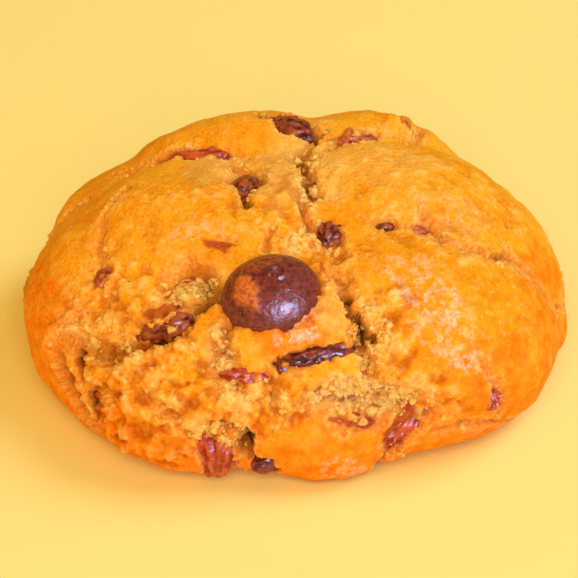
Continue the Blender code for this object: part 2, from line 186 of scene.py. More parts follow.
# Each crack's line from end to end: u, v, half width and depth
CRACK_LINES: Dict[str, Tuple[Tuple[float, float, float, float], ...]] = {
    "crown_channel": (
        (3.0, 9.5, 0.8, 1.5), (0.6, 4.4, 1.0, 2.0), (1.4, -0.4, 1.0, 2.2), (2.6, -4.0, 1.2, 2.2),
        (1.2, -7.0, 0.8, 1.6), (2.0, -11.0, 0.7, 1.2), (4.3, -11.4, 1.2, 2.0), (5.5, -15.5, 0.5, 1.0),
    ),
    "upper_left_hollow": (
        (-7.8, 3.6, 0.7, 1.2), (-6.4, 0.6, 0.8, 1.2), (-5.4, -2.2, 1.8, 2.4), (-5.3, -4.5, 0.8, 2.4),
        (-5.2, -6.8, 0.3, 1.4),
    ),
    "upper_left_fold": (
        (-23.0, 8.4, 0.4, 0.7), (-19.3, 6.2, 0.6, 1.0), (-15.4, 5.7, 0.9, 1.8), (-11.6, 5.3, 1.0, 2.0),
        (-8.2, 4.6, 0.7, 1.4),
    ),
    "left_side": (
        (-18.6, -0.8, 0.5, 0.8), (-20.4, -3.6, 0.3, 0.5), (-21.4, -6.2, 0.7, 1.1),
        (-22.2, -9.0, 0.7, 1.1), (-21.9, -12.6, 1.2, 1.2), (-20.8, -15.6, 0.5, 0.6),
    ),
    "left_of_large_chip": (
        (-30.0, -17.0, 1.2, 0.9), (-25.5, -19.7, 1.5, 1.5), (-22.5, -22.6, 1.2, 1.8),
        (-19.5, -22.5, 1.5, 2.6), (-16.0, -22.3, 1.7, 3.4), (-12.8, -21.3, 1.7, 3.2),
        (-10.2, -20.0, 1.5, 3.4), (-8.6, -19.6, 1.2, 3.0),
    ),
    "crumbling_slope": (
        (-15.0, -18.3, 1.2, 1.0), (-13.2, -16.0, 2.0, 1.3), (-10.8, -15.4, 2.2, 1.6),
        (-9.0, -17.6, 1.6, 2.2),
    ),
    "above_large_chip": ((-3.2, -11.6, 0.5, 1.0), (-3.2, -13.8, 0.9, 1.3)),
    "left_front_crevice": (
        (-30.5, -18.5, 0.9, 1.4), (-30.6, -21.5, 1.5, 3.0), (-30.2, -24.0, 0.9, 2.2),
        (-29.6, -27.4, 1.4, 2.6), (-28.4, -30.0, 0.8, 1.4),
    ),
    "left_front_nick": ((-25.4, -25.6, 0.5, 0.8), (-23.5, -27.5, 0.5, 0.9)),
    "down_from_large_chip": (
        (-7.2, -24.0, 0.6, 1.6), (-7.8, -26.5, 0.5, 1.2), (-7.2, -28.4, 0.9, 1.4),
        (-6.6, -30.3, 1.2, 1.6),
    ),
    "crescent": (
        (-2.4, -29.6, 0.6, 1.6), (0.4, -29.3, 0.8, 1.8), (3.0, -28.6, 1.0, 2.2), (5.4, -27.6, 1.1, 2.2),
        (7.4, -27.3, 0.8, 1.8),
    ),
    "lower_streak": (
        (-9.6, -28.6, 0.5, 1.2), (-6.4, -29.6, 0.7, 1.6), (-3.0, -30.6, 0.5, 1.4),
        (-2.4, -32.6, 0.4, 1.4), (-1.6, -35.2, 0.4, 0.8),
    ),
    "right_of_large_chip": (
        (5.4, -17.5, 0.9, 1.0), (6.6, -21.5, 0.7, 1.8), (8.2, -23.7, 0.6, 2.4), (9.1, -25.4, 1.0, 3.4),
        (8.4, -27.4, 0.9, 2.2), (10.5, -29.5, 0.6, 1.2),
    ),
    "front_crumbling_ground": (
        (2.0, -33.6, 1.4, 1.0), (6.6, -33.0, 2.2, 1.3), (11.8, -32.4, 2.4, 1.5),
        (16.5, -31.5, 1.8, 1.3), (18.7, -31.2, 0.8, 1.2),
    ),
    "above_tongue": (
        (3.6, -35.0, 0.4, 0.8), (6.2, -35.8, 0.6, 1.4), (9.4, -35.6, 0.8, 1.6), (12.4, -34.4, 1.0, 1.6),
    ),
    "right_of_tongue": (
        (13.8, -42.5, 0.9, 1.6), (14.2, -39.8, 1.3, 2.2), (15.7, -36.6, 1.7, 2.2),
        (16.9, -33.6, 1.3, 1.8), (18.6, -31.0, 0.8, 1.4),
    ),
    "front_hollow": (
        (-11.0, -34.4, 1.0, 1.4), (-11.6, -37.0, 2.2, 2.2), (-11.0, -40.2, 2.4, 2.2),
        (-10.4, -42.6, 1.2, 1.4),
    ),
    "front_split": (
        (-10.6, -34.0, 0.5, 1.2), (-8.2, -35.6, 0.7, 1.8), (-6.6, -38.2, 0.9, 3.0),
        (-5.6, -40.4, 0.7, 1.8), (-4.2, -42.4, 1.4, 2.4),
    ),
    "front_left_nick": (
        (-17.0, -28.5, 0.5, 0.8), (-15.4, -31.5, 0.8, 1.4), (-14.6, -33.4, 0.5, 0.8),
    ),
    "right_crease": (
        (21.6, -23.4, 0.3, 0.6), (24.2, -24.6, 0.5, 0.9), (25.4, -26.4, 1.1, 1.4),
        (27.4, -28.2, 0.5, 0.6),
    ),
    "right_foot_fold": (
        (20.5, -33.0, 0.6, 1.0), (24.5, -30.4, 0.7, 1.1), (28.5, -28.2, 0.5, 0.9),
        (35.5, -24.0, 0.4, 0.5),
    ),
    "upper_right": (
        (13.6, -5.6, 0.5, 0.9), (14.0, -8.6, 1.3, 1.6), (17.2, -10.0, 0.8, 1.2),
        (19.9, -11.0, 0.8, 1.3), (22.4, -10.6, 0.7, 1.1), (24.4, -8.0, 1.0, 1.8),
        (27.0, -8.8, 0.7, 1.2), (30.6, -9.8, 0.7, 1.0), (33.0, -12.0, 0.4, 0.6),
    ),
    "upper_right_nick": ((9.3, -8.9, 0.5, 0.9), (10.7, -8.7, 1.2, 1.8), (12.0, -8.8, 0.5, 0.8)),
    "back_rim": (
        (3.6, 5.4, 0.4, 0.8), (6.4, 7.9, 0.9, 1.6), (9.8, 9.2, 0.9, 1.4), (12.5, 9.6, 0.4, 0.8),
    ),
    "far_right_rim": ((15.6, 14.6, 0.5, 1.0), (14.6, 9.4, 0.6, 1.2)),
    "back_chip_hollow": ((-4.4, 14.4, 1.0, 1.2), (-1.0, 12.0, 1.8, 1.8), (2.6, 10.2, 1.2, 2.6)),
    "back_across": (
        (-22.0, 24.0, 0.8, 1.2), (-12.0, 22.0, 1.3, 2.2), (-3.0, 24.5, 1.4, 2.6), (4.0, 22.0, 1.0, 1.8),
        (12.0, 23.5, 0.6, 1.0),
    ),
    "back_down": ((-3.0, 24.5, 1.0, 2.0), (0.0, 31.0, 1.2, 2.2), (1.5, 38.0, 0.8, 1.2)),
    "back_right": ((24.0, 20.0, 0.6, 1.0), (28.0, 24.0, 1.0, 1.6), (30.0, 30.0, 0.6, 1.0)),
    "far_left": ((-36.0, 8.0, 0.5, 0.8), (-31.0, 4.5, 0.8, 1.2), (-26.0, 5.5, 0.5, 0.8)),
    "far_right": ((34.0, -8.6, 0.8, 1.2), (37.0, -5.0, 0.6, 1.0), (36.0, 2.0, 0.4, 0.8)),
}

CRACKS: Dict[str, List[Point]] = {
    name: [Point(*spot) for spot in line] for name, line in CRACK_LINES.items()
}

CHIPS: Dict[str, Chip] = {
    "chip_large": Chip(-2.7, -20.9, 5.7, 4.8, 3.9, 8, 1.2, Tone.GLOSSY, 0.0),
    "chip_back_rim": Chip(-1.0, 12.4, 3.8, 2.0, 2.0, -39, 1.2, Tone.PLUM),
    "chip_upper_left_strip": Chip(-12.0, 5.4, 4.2, 1.3, 1.6, -6, 1.1, Tone.RED, 0.75),
    "chip_upper_left": Chip(-5.3, -2.6, 2.0, 1.5, 1.5, 60, 1.5, Tone.PLUM, 0.3),
    "chip_channel_high": Chip(3.2, -2.4, 1.8, 1.1, 1.4, -70, 1.5, Tone.PLUM, 0.0),
    "chip_channel_low": Chip(4.5, -10.6, 2.1, 1.6, 1.7, 75, 1.2, Tone.PLUM, 0.4),
    "chip_right_nick": Chip(10.7, -8.8, 1.7, 1.0, 1.2, 8, 1.2, Tone.PLUM),
    "chip_right_crack": Chip(13.9, -8.7, 1.4, 1.0, 1.2, -20, 1.3),
    "chip_back_right": Chip(8.0, 8.6, 2.7, 1.2, 1.4, 20, 1.0, Tone.ROSY, 0.85),
    "chip_far_right_rim": Chip(13.2, 14.6, 2.8, 1.4, 1.5, 44, 1.2),
    "chip_left": Chip(-21.9, -12.6, 1.7, 1.2, 1.3, 80, 0.9, Tone.ROSY, 0.85),
    "chip_left_rim": Chip(-35.6, -3.6, 1.5, 1.1, 1.2, 70, 0.9),
    "chip_left_crack": Chip(-15.0, -21.0, 3.6, 1.5, 1.8, 3, 2.0, Tone.PLUM, 0.7),
    "chip_streak": Chip(-8.2, -12.4, 1.8, 0.7, 1.0, -14, 0.75, Tone.RED, 1.0),
    "chip_crescent": Chip(2.6, -28.8, 4.6, 1.5, 1.8, 13, 1.6, Tone.GLOSSY),
    "chip_lower_streak": Chip(-6.1, -29.7, 3.0, 0.8, 1.1, -16, 1.0, Tone.RED, 0.8),
    "chip_front": Chip(-11.3, -38.2, 3.4, 2.5, 2.0, 82, 1.6, Tone.RED, 0.25),
    "chip_front_foot": Chip(-4.2, -41.6, 2.0, 1.3, 1.5, 10, 1.4, Tone.GLOSSY),
    "chip_tongue_streak": Chip(8.2, -35.5, 3.5, 0.8, 1.1, 5, 1.0, Tone.RED, 0.95),
    "chip_right_foot": Chip(16.0, -35.6, 4.6, 1.5, 1.7, 62, 1.9, Tone.RED, 0.35),
    "chip_right_side": Chip(25.4, -26.3, 1.6, 1.0, 1.2, 80, 1.0, Tone.RED, 0.3),
    "chip_back_crack": Chip(-2.4, 24.4, 3.4, 1.7, 1.8, -5, 1.8),
    "chip_back_low": Chip(0.6, 33.5, 2.6, 1.5, 1.6, 80, 1.4),
    "chip_back_right_crack": Chip(27.4, 23.4, 2.4, 1.4, 1.5, 45, 1.0),
    "chip_back_left": Chip(-20.5, 23.8, 2.8, 1.6, 1.6, -10, 0.9),
}

# Where the crust has broken away and crumb shows; height is how fully it has
CRUMB_ZONES = make_ovals(
    slope_left_of_chip=(-12.0, -17.0, 4.8, 2.8, 20, 0.9),
    left_crumble=(-24.0, -18.5, 7.0, 2.6, -20, 0.58),
    left_front=(-28.0, -23.5, 1.8, 5.4, 0, 0.5),
    front_left_band=(-19.0, -24.5, 6.6, 2.0, -35, 0.45),
    channel=(1.6, -1.0, 2.2, 10.0, 0, 0.8),
    above_chip=(1.8, -13.5, 4.6, 2.2, 0, 0.8),
    left_of_lower_lobe=(-8.6, -26.0, 2.0, 4.2, 0, 0.9),
    right_gap=(9.4, -25.5, 3.2, 5.4, 0, 0.85),
    front_ground=(9.5, -32.2, 9.0, 2.8, 4, 1.0),
    lower_streak=(-7.0, -31.2, 4.6, 1.6, -12, 0.7),
    front_split=(-8.2, -36.0, 2.2, 3.8, -20, 0.8),
    front_hollow=(-11.5, -34.5, 3.0, 1.4, 0, 0.9),
    right_of_tongue=(17.0, -35.0, 2.2, 4.6, -30, 0.6),
    back_rim=(6.5, 7.0, 4.6, 1.8, 20, 0.7),
    upper_right=(22.0, -10.4, 8.0, 1.5, 5, 0.5),
    back_across=(-6.0, 23.5, 14.0, 2.2, 0, 0.8),
    back_down=(0.2, 31.0, 2.0, 7.0, 0, 0.8),
)

# Where the crust is whole but set in coarse grains; height is how coarse
ROUGH_ZONES = make_ovals(
    front_left_slope=(-18.0, -29.0, 14.0, 10.0, -20, 0.9),
    front_middle=(-4.0, -33.5, 9.0, 5.0, 0, 0.9),
    left_shoulder=(-20.0, -17.0, 12.0, 6.0, -20, 0.7),
    front_right=(15.0, -31.0, 10.0, 4.0, 20, 0.9),
    round_chip=(1.0, -18.0, 9.5, 9.5, 0, 0.7),
    right_of_gap=(11.5, -25.0, 4.0, 7.5, 0, 0.8),
    upper_middle=(-2.0, -5.0, 7.0, 11.0, 0, 0.6),
    upper_right=(18.0, -10.0, 12.0, 5.0, 0, 0.5),
    back=(-2.0, 26.0, 18.0, 7.0, 0, 0.7),
    large_mound=(17.0, -19.0, 15.0, 10.0, 0, 0.3),
    top_right=(16.0, -2.0, 14.0, 9.0, 0, 0.4),
    upper_left=(-14.0, -8.0, 13.0, 7.0, 0, 0.35),
)

# Where the dough baked paler than the rest
PALE_ZONES = make_ovals(
    crown=(0.5, 1.0, 7.0, 11.0, 0, 0.8),
    crown_right=(9.5, 1.5, 8.0, 6.0, 0, 0.45),
    crown_left=(-8.5, 0.5, 6.0, 5.0, 0, 0.6),
    slope_left_of_chip=(-11.5, -17.5, 5.5, 3.0, 20, 0.8),
    left=(-22.0, -20.5, 8.0, 4.6, -20, 0.1),
    front_ground=(9.0, -32.6, 9.5, 3.2, 4, 0.9),
    right_of_lower_lobe=(5.0, -23.6, 3.0, 3.0, 0, 0.7),
    left_of_lower_lobe=(-8.8, -27.0, 2.6, 4.0, 0, 0.6),
    front_hollow=(-11.0, -34.0, 3.6, 2.0, 0, 0.4),
)

# Where butter has risen and dried to a fine gloss, with pink-white glints painted into the colour
GREASE_AND_GLINT_ZONES = make_ovals(
    large_mound=(14.5, -18.5, 7.0, 2.9, -28, 1.0),
    large_mound_top=(12.5, -15.5, 4.0, 1.6, 10, 0.7),
    large_mound_low=(17.5, -23.5, 5.5, 2.0, -20, 0.7),
    tongue=(7.5, -40.5, 5.0, 2.2, 0, 0.5),
    front_ground=(9.5, -32.2, 7.0, 2.2, 4, 1.0),
    left_of_lower_lobe=(-8.8, -26.5, 2.0, 3.4, 0, 0.5),
    upper_right=(17.0, -5.5, 6.0, 3.0, 0, 0.35),
    below_chip=(0.5, -25.8, 4.4, 1.8, 10, 0.9),
    above_streak=(-9.5, -10.8, 5.0, 1.6, 0, 0.6),
    left_side=(-26.0, -16.0, 3.0, 3.0, 0, 0.5),
)

# Where a chip lies just under the crust and tints it
THIN_ZONES = make_ovals(
    upper_left=(-10.2, -3.2, 3.2, 1.9, 8, 0.8),
    back_rim=(-3.4, 14.2, 3.4, 1.6, 20, 0.6),
    left_rim=(-33.8, -4.6, 2.2, 3.6, 0, 0.6),
)

# Shreds of red-brown chocolate too thin to stand out of the dough
RED_ZONES = make_ovals(
    strip=(-12.2, 5.3, 5.2, 1.1, -5, 1.0),
    left_hole_high=(-27.2, -21.4, 1.0, 2.6, 0, 0.8),
    left_hole_low=(-26.0, -27.0, 1.1, 2.6, -15, 0.8),
    left_crack_band=(-14.6, -19.6, 3.3, 0.9, 4, 0.95),
    slope_line=(-12.6, -15.5, 1.9, 0.4, 30, 0.9),
    slope_spot=(-14.2, -17.4, 0.4, 0.8, 0, 1.0),
    right_of_chip=(4.0, -17.2, 0.5, 1.0, 20, 0.8),
    left_nick=(-21.6, -27.5, 1.0, 0.7, 0, 0.6),
    front_nick=(-13.4, -30.4, 0.6, 1.6, 30, 0.6),
    tongue_streak=(8.6, -35.1, 4.4, 0.5, 5, 0.9),
    right_foot=(15.0, -34.2, 1.0, 3.8, -30, 0.95),
    back_rim_right=(6.8, 8.6, 3.4, 0.9, 22, 0.8),
    streak=(-8.2, -12.3, 2.6, 0.4, -8, 1.0),
)

# Where the crust baked deepest, besides low on the sides
DEEP_ZONES = make_ovals(
    below_chip=(-0.5, -26.0, 6.0, 3.2, 0, 0.9),
    tongue=(7.5, -39.0, 7.5, 4.0, 0, 0.9),
    right_low=(25.0, -25.0, 8.0, 6.0, 30, 0.9),
    far_right=(31.0, -12.0, 7.0, 13.0, 0, 0.9),
    left_side=(-32.0, -14.0, 7.0, 12.0, 10, 0.8),
)

# Holes down in the cracks: the relief sinks there, and their colour is painted nearly black as shadow
HOLE_SHADOW_ZONES = make_ovals(
    left_crack_a=(-16.7, -22.8, 1.0, 0.5, 0, 1.0),
    left_crack_b=(-14.4, -22.9, 1.4, 0.5, 10, 1.0),
    left_hole_high=(-27.0, -20.9, 0.55, 1.8, 10, 0.9),
    left_hole_low=(-26.4, -26.6, 0.6, 1.5, -20, 0.9),
    right_gap_high=(7.0, -21.2, 0.6, 0.4, -40, 0.9),
    right_gap=(8.7, -24.0, 2.0, 0.26, -67, 0.9),
    jag=(-1.7, -29.3, 1.3, 0.4, -75, 1.0),
    crescent_tail=(-0.4, -28.6, 1.9, 0.35, 4, 0.9),
    upper_left_tail=(-4.8, -6.9, 1.1, 0.4, -80, 1.0),
    front_crack=(-6.2, -37.0, 1.9, 0.45, -75, 1.0),
    right_foot=(16.4, -36.9, 1.0, 0.7, 0, 1.0),
    back_rim=(2.4, 10.4, 1.8, 0.7, -35, 1.0),
    back_crack=(1.8, 23.4, 1.2, 0.5, 0, 1.0),
)


def linear(hex_colour: str) -> Tuple[float, float, float, float]:
    """Turns an sRGB hex colour to linear light.

    Args:
        hex_colour: The colour, such as "#F29A1F".

    Returns:
        Red, green, blue and an alpha of 1, each from 0 to 1.
    """
    channels = np.array([int(hex_colour[i:i + 2], 16) for i in (1, 3, 5)]) / 255.0
    light = np.where(channels <= 0.04045, channels / 12.92, ((channels + 0.055) / 1.055) ** 2.4)
    return (float(light[0]), float(light[1]), float(light[2]), 1.0)


def smooth_step(value: Array) -> Array:
    """Rises from 0 to 1 with level ends: 3t^2 - 2t^3 of the value held between 0 and 1."""
    held = np.clip(value, 0.0, 1.0)
    return held * held * (3.0 - 2.0 * held)


def ramp(value: Array, start: float, end: float) -> Array:
    """Rises smoothly from 0 at the start to 1 at the end, which may be the lower of the two."""
    return smooth_step((value - start) / (end - start))


def lattice_value(cell: Array, seed: int) -> Array:
    """A fixed value for each whole-number point, by mixing its bits.

    Args:
        cell: Whole-number points, three numbers each.
        seed: Picks one of many such fields.

    Returns:
        A value from 0 to 1 for each point.
    """
    mixed = seed * MIXERS[3]
    for axis in range(3):
        mixed = mixed + cell[..., axis] * MIXERS[axis]
    mixed = mixed & WORD
    mixed = ((mixed ^ (mixed >> 13)) * MIXERS[3]) & WORD
    return ((mixed ^ (mixed >> 16)) & SHORT_WORD) / float(SHORT_WORD)


def noise(points: Array, size: float, seed: int) -> Array:
    """Smooth noise: lattice values blended by smooth steps between the eight corners of a cell.

    Args:
        points: Places, three numbers each, in millimetres.
        size: The length of one cell.
        seed: Picks the field.

    Returns:
        A value from -1 to 1 for each place.
    """
    place = np.asarray(points) / size + LATTICE_START
    cell = np.floor(place).astype(np.int64)
    part = smooth_step(place - cell)
    total = np.zeros(part.shape[:-1])
    for corner in np.ndindex(2, 2, 2):
        weight = np.prod([part[..., a] if corner[a] else 1.0 - part[..., a] for a in range(3)], axis=0)
        total = total + weight * lattice_value(cell + np.array(corner), seed)
    return 2.0 * total - 1.0


def layered(points: Array, layers: Iterable[Layer], seed: int = 0) -> Array:
    """Sum of layers of noise, each times its height.

    Args:
        points: Places, three numbers each, in millimetres.
        layers: The layers to add up.
        seed: Added to every layer's own seed.

    Returns:
        The sum at each place.
    """
    total = np.zeros(np.shape(points)[:-1])
    for layer in layers:
        total = total + layer.height * noise(points, layer.size, seed + layer.seed)
    return total


def drift(points: Array, size: float, seed: int) -> Array:
    """Three fields of noise, with seeds in a row, as one shift in space for each place."""
    return np.stack([noise(points, size, seed + axis) for axis in range(3)], axis=-1)


def cells(points: Array, size: float, seed: int) -> Array:
    """Distance to the nearest of a field of scattered seeds, one in each cell of a lattice.

    Args:
        points: Places, three numbers each, in millimetres.
        size: The length of one cell.
        seed: Picks the field.

    Returns:
        The distance from each place, in cells.
    """
    place = np.asarray(points) / size + LATTICE_START
    cell = np.floor(place).astype(np.int64)
    nearest = np.full(place.shape[:-1], FAR)
    for step in np.ndindex(3, 3, 3):
        near = cell + np.array(step) - 1
        spot = near + np.stack([lattice_value(near, seed + extra) for extra in (11, 23, 37)], axis=-1)
        nearest = np.minimum(nearest, ((spot - place) ** 2).sum(axis=-1))
    return np.sqrt(nearest)


def bell(bearing: Array, swells: Iterable[Swell]) -> Array:
    """Sum of bell curves over the bearing, which is in radians."""
    total = np.zeros(np.shape(bearing))
    for swell in swells:
        off = (np.degrees(bearing) - swell.bearing + 180.0) % 360.0 - 180.0
        total = total + swell.amount * np.exp(-((off / swell.spread) ** 2))
    return total


def inside_oval(u: Array, v: Array, oval: Oval) -> Array:
    """1 at an oval's middle, 0 at its edge and below 0 outside: 1 - (along/a)^2 - (across/b)^2."""
    angle = math.radians(oval.heading)
    along = (u - oval.u) * math.cos(angle) + (v - oval.v) * math.sin(angle)
    across = (v - oval.v) * math.cos(angle) - (u - oval.u) * math.sin(angle)
    return 1.0 - (along / oval.half_length) ** 2 - (across / oval.half_width) ** 2


def square_to_disc(x: Array, y: Array) -> Tuple[Array, Array]:
    """Bends a square into a disc, ring by ring: each square ring's points spread over a circle."""
    level = np.abs(x) >= np.abs(y)
    ring = np.where(level, x, y)
    turn = np.where(
        level,
        math.pi / 4 * y / np.where(x == 0.0, 1.0, x),
        math.pi / 2 - math.pi / 4 * x / np.where(y == 0.0, 1.0, y),
    )
    return ring * np.cos(turn), ring * np.sin(turn)


@dataclass
class CrustSample:
    """What the form gives at a set of places: where they are and what the surface is like there.

    The masks run from 0 to 1. crumb is broken crust and rough is coarse grain. pale is dough baked
    less, and deep is dough baked more, as low on the sides. crevice_shade is painted shade by the
    depth in a crack. tip is painted highlight on the high places of the fine relief, and gap is
    painted shade in its low places. stain is melted chocolate, dark is painted near-black shadow in
    holes, thin is crust over a hidden chip, and grease_and_glints is dried butter gloss with painted
    pink-white glints.
    """

    place: Array
    outwards: Array
    crumb: Array
    rough: Array
    pale: Array
    deep: Array
    crevice_shade: Array
    tip: Array
    gap: Array
    stain: Array
    dark: Array
    thin: Array
    grease_and_glints: Array


@dataclass(frozen=True)
class Grain:
    """The fine relief of the crust, in millimetres.

    Rough places are packed, uneven grains of two sizes: each falls away from its own middle, by the
    distance to the nearest of a field of scattered seeds. Smooth places carry low swellings and a
    few round pits, and fine beads where butter has dried.
    """

    warp_size: float = 0.9
    clump_size: float = 1.9
    clump_warp: float = 0.5
    clump_height: float = 0.95
    kernel_size: float = 0.95
    kernel_warp: float = 0.3
    kernel_height: float = 0.5
    level: float = 0.5
    coarse: Tuple[Layer, ...] = (Layer(0.3, 1.5, 69), Layer(0.08, 0.6, 12))
    even: Tuple[Layer, ...] = (Layer(0.17, 2.0, 4), Layer(0.1, 1.1, 66), Layer(0.05, 0.6, 12))
    pit_spacing: float = 2.4
    pit_radius: float = 0.17
    pit_depth: float = 0.25
    pitted_size: float = 5.0
    pitted_full: float = 1.0 / 3.0
    bead_size: float = 0.8
    bead_height: float = 0.12

    def height(self, base: Array, rough: Array, gloss: Array) -> Array:
        """Height of the fine relief.

        Args:
            base: Places on the smooth dome.
            rough: How coarse the crust is there.
            gloss: How much dried butter there is, which makes it finely beaded.

        Returns:
            The height at each place.
        """
        warp = drift(base, self.warp_size, 61)
        clump = self.level - cells(base + self.clump_warp * warp, self.clump_size, 9)
        kernel = self.level - cells(base + self.kernel_warp * warp, self.kernel_size, 10)
        coarse = self.clump_height * clump + self.kernel_height * kernel + layered(base, self.coarse)
        pits = ramp(cells(base, self.pit_spacing, 64), self.pit_radius, 0.0)
        pits = pits * ramp(noise(base, self.pitted_size, 65), 0.0, self.pitted_full)
        even = layered(base, self.even) - self.pit_depth * pits
        beads = self.bead_height * (self.level - cells(base, self.bead_size, 67))
        return rough * coarse + (1.0 - rough) * (even + gloss * beads)


@dataclass(frozen=True)
class Tears:
    """Torn plates of crust, in millimetres: a noise that rises in steps, each a cliff above a slope."""

    plate_size: float = 4.2
    plate_count: float = 2.0
    plate_height: float = 0.7
    fringe_size: float = 1.0
    fringe: float = 0.35
    warp_size: float = 1.4
    warp: float = 0.9
    cliff: Tuple[float, float] = (0.42, 0.58)
    foot: float = 0.4
    foot_width: float = 0.05

    def plates(self, base: Array) -> Tuple[Array, Array]:
        """Height of the plates, and nearness to the foot of a cliff.

        Args:
            base: Places on the smooth dome.

        Returns:
            The height in millimetres, and from 0 to 1 how near a cliff's foot is.
        """
        warped = base + self.warp * drift(base, self.warp_size, 81)
        rise = self.plate_count * noise(warped, self.plate_size, 84)
        rise = rise + self.fringe * noise(base, self.fringe_size, 85)
        part = rise - np.floor(rise)
        foot = np.exp(-(((part - self.foot) / self.foot_width) ** 2))
        return self.plate_height * (ramp(part, *self.cliff) - part), foot


@dataclass
class CookieForm:
    """The cookie's shape: a turned dome with an uneven outline, lobes, cracks and crumb.

    Sizes and heights are in millimetres. A pair says where a mask starts and where it is full. Names
    with fray say how far a noise frays an edge.
    """

    body_radius: float = 31.0
    crown_height: float = 23.2
    waist_height: float = 4.2
    foot_inset: float = 4.2
    side_power: float = 2.3
    crown_power: float = 2.1
    profile_points: int = 160
    axis_place: Tuple[float, float] = (-0.46, 0.555)
    relief_fade: float = 2.0
    mound_blend: float = 0.35
    mound_floor: float = -9.0
    lift_reach: float = 8.0
    lumps: Tuple[Layer, ...] = (Layer(0.35, 4.5, 3),)
    wander: Tuple[Layer, ...] = (Layer(0.9, 5.0, 0),)
    ragged_edge: float = 0.75
    ragged: Tuple[Layer, ...] = (Layer(0.8, 2.6, 0), Layer(0.9, 1.3, 1), Layer(0.4, 0.65, 20))
    fray: Tuple[Layer, ...] = (Layer(0.5, 2.6, 14), Layer(0.4, 1.0, 15))
    zone_edge: float = 1.6
    lip_width: float = 1.0
    lip_crumb: float = 0.5
    lip_fray: float = 0.6
    crumb_grease_loss: float = 0.4
    red_ragged: float = 0.6
    red_fray: float = 0.6
    hole_shadow_ragged: float = 0.5
    hole_shadow_fray: float = 0.3
    thin_fray: float = 1.6
    torn: Tuple[float, float] = (0.4, 0.8)
    cover_width: float = 1.2
    cover_height: float = 0.9
    cover: Tuple[Layer, ...] = (Layer(1.0, 1.7, 68), Layer(0.7, 0.8, 70), Layer(0.4, 0.45, 71))
    hole_depth: float = 1.1
    stain_width: float = 0.8
    stain_fray: float = 0.6
    stain: Tuple[float, float] = (0.25, 1.25)
    crust_stain: float = 0.3
    deep: Tuple[float, float] = (13.0, 3.0)
    deep_fray: float = 3.0
    # Crack depths where the painted shade in a crack starts and where it is full
    crevice_shade: Tuple[float, float] = (0.3, 2.5)
    # Heights of the fine relief where painted highlights start and where they are full
    tip: Tuple[float, float] = (0.03, 0.38)
    deep_highlight_loss: float = 0.65
    # Painted shade in the low places of the fine relief: where it starts and where it is full, less where
    # the crust is smooth, and at the foot of torn cliffs
    gap: Tuple[float, float] = (0.02, -0.3)
    smooth_gap_shade: float = 0.2
    cliff_foot_shade: float = 0.5
    grain: Grain = Grain()
    tears: Tears = Tears()
    share: Array = field(init=False)
    height: Array = field(init=False)
    reach: Array = field(init=False)

    def __post_init__(self) -> None:
        """Works out the turned profile: two superellipse quarters, then an arc in to the foot."""
        angle = np.linspace(0.0, math.pi / 2, self.profile_points)
        under = angle[1:]
        rise = self.crown_height - self.waist_height
        self.share = np.concatenate([
            np.sin(angle) ** (2.0 / self.side_power),
            1.0 - self.foot_inset / self.body_radius * (1.0 - np.cos(under)),
        ])
        self.height = np.concatenate([
            self.waist_height + rise * np.abs(np.cos(angle)) ** (2.0 / self.crown_power),
            self.waist_height * (1.0 - np.sin(under)),
        ])
        steps = np.hypot(np.diff(self.share * self.body_radius), np.diff(self.height))
        self.reach = np.concatenate([[0.0], np.cumsum(steps)])

    def skin(self, u: Array, v: Array) -> Array:
        """The smooth dome at (u, v): the profile at the reach, turned to the bearing."""
        reach = np.hypot(u, v)
        bearing = np.arctan2(v, u)
        radius = np.interp(reach, self.reach, self.share) * (self.body_radius + bell(bearing, SWELLS))
        height = np.interp(reach, self.reach, self.height)
        return np.stack([radius * np.cos(bearing), radius * np.sin(bearing), height], axis=-1)

    def slopes(self, u: Array, v: Array, step: float = 0.05) -> List[Array]:
        """Unit directions along u, along v and outwards, from small steps over the dome."""
        along_u = self.skin(u + step, v) - self.skin(u - step, v)
        along_v = self.skin(u, v + step) - self.skin(u, v - step)
        ways = (along_u, along_v, np.cross(along_u, along_v))
        return [way / np.linalg.norm(way, axis=-1, keepdims=True) for way in ways]

    def mound_height(self, u: Array, v: Array) -> Array:
        """Height of the lobes: the highest at each place, blended by a soft maximum."""
        total = np.ones(np.shape(u))
        for mound in MOUNDS.values():
            rise = np.maximum(mound.height * inside_oval(u, v, mound), self.mound_floor)
            total = total + np.exp(rise / self.mound_blend)
        return self.mound_blend * np.log(total)

    def cracks(self, u: Array, v: Array) -> Tuple[Array, Array]:
        """Depth and nearness of the cracks: grooves whose walls fall as a circle's arc.

        Args:
            u: Skin places to the right.
            v: Skin places away from the front.

        Returns:
            The deepest groove's depth and the distance to the nearest groove's lip, in millimetres.
        """
        depth = np.zeros(np.shape(u))
        lip = np.full(np.shape(u), FAR)
        for line in CRACKS.values():
            for start, end in zip(line, line[1:]):
                run_u, run_v = end.u - start.u, end.v - start.v
                along = ((u - start.u) * run_u + (v - start.v) * run_v) / (run_u ** 2 + run_v ** 2)
                along = np.clip(along, 0.0, 1.0)
                off = np.hypot(u - start.u - along * run_u, v - start.v - along * run_v)
                half_width = start.half_width + along * (end.half_width - start.half_width)
                groove = np.sqrt(np.clip(1.0 - (off / half_width) ** 2, 0.0, 1.0))
                depth = np.maximum(depth, (start.depth + along * (end.depth - start.depth)) * groove)
                lip = np.minimum(lip, off - half_width)
        return depth, lip

    def zones(self, u: Array, v: Array, ovals: Dict[str, Oval], fray: Array) -> Array:
        """How far each place lies in any of the ovals, their edges frayed by a noise."""
        most = np.zeros(np.shape(u))
        for oval in ovals.values():
            most = np.maximum(most, oval.height * smooth_step(self.zone_edge * inside_oval(u, v, oval)
                                                              + fray))
        return most

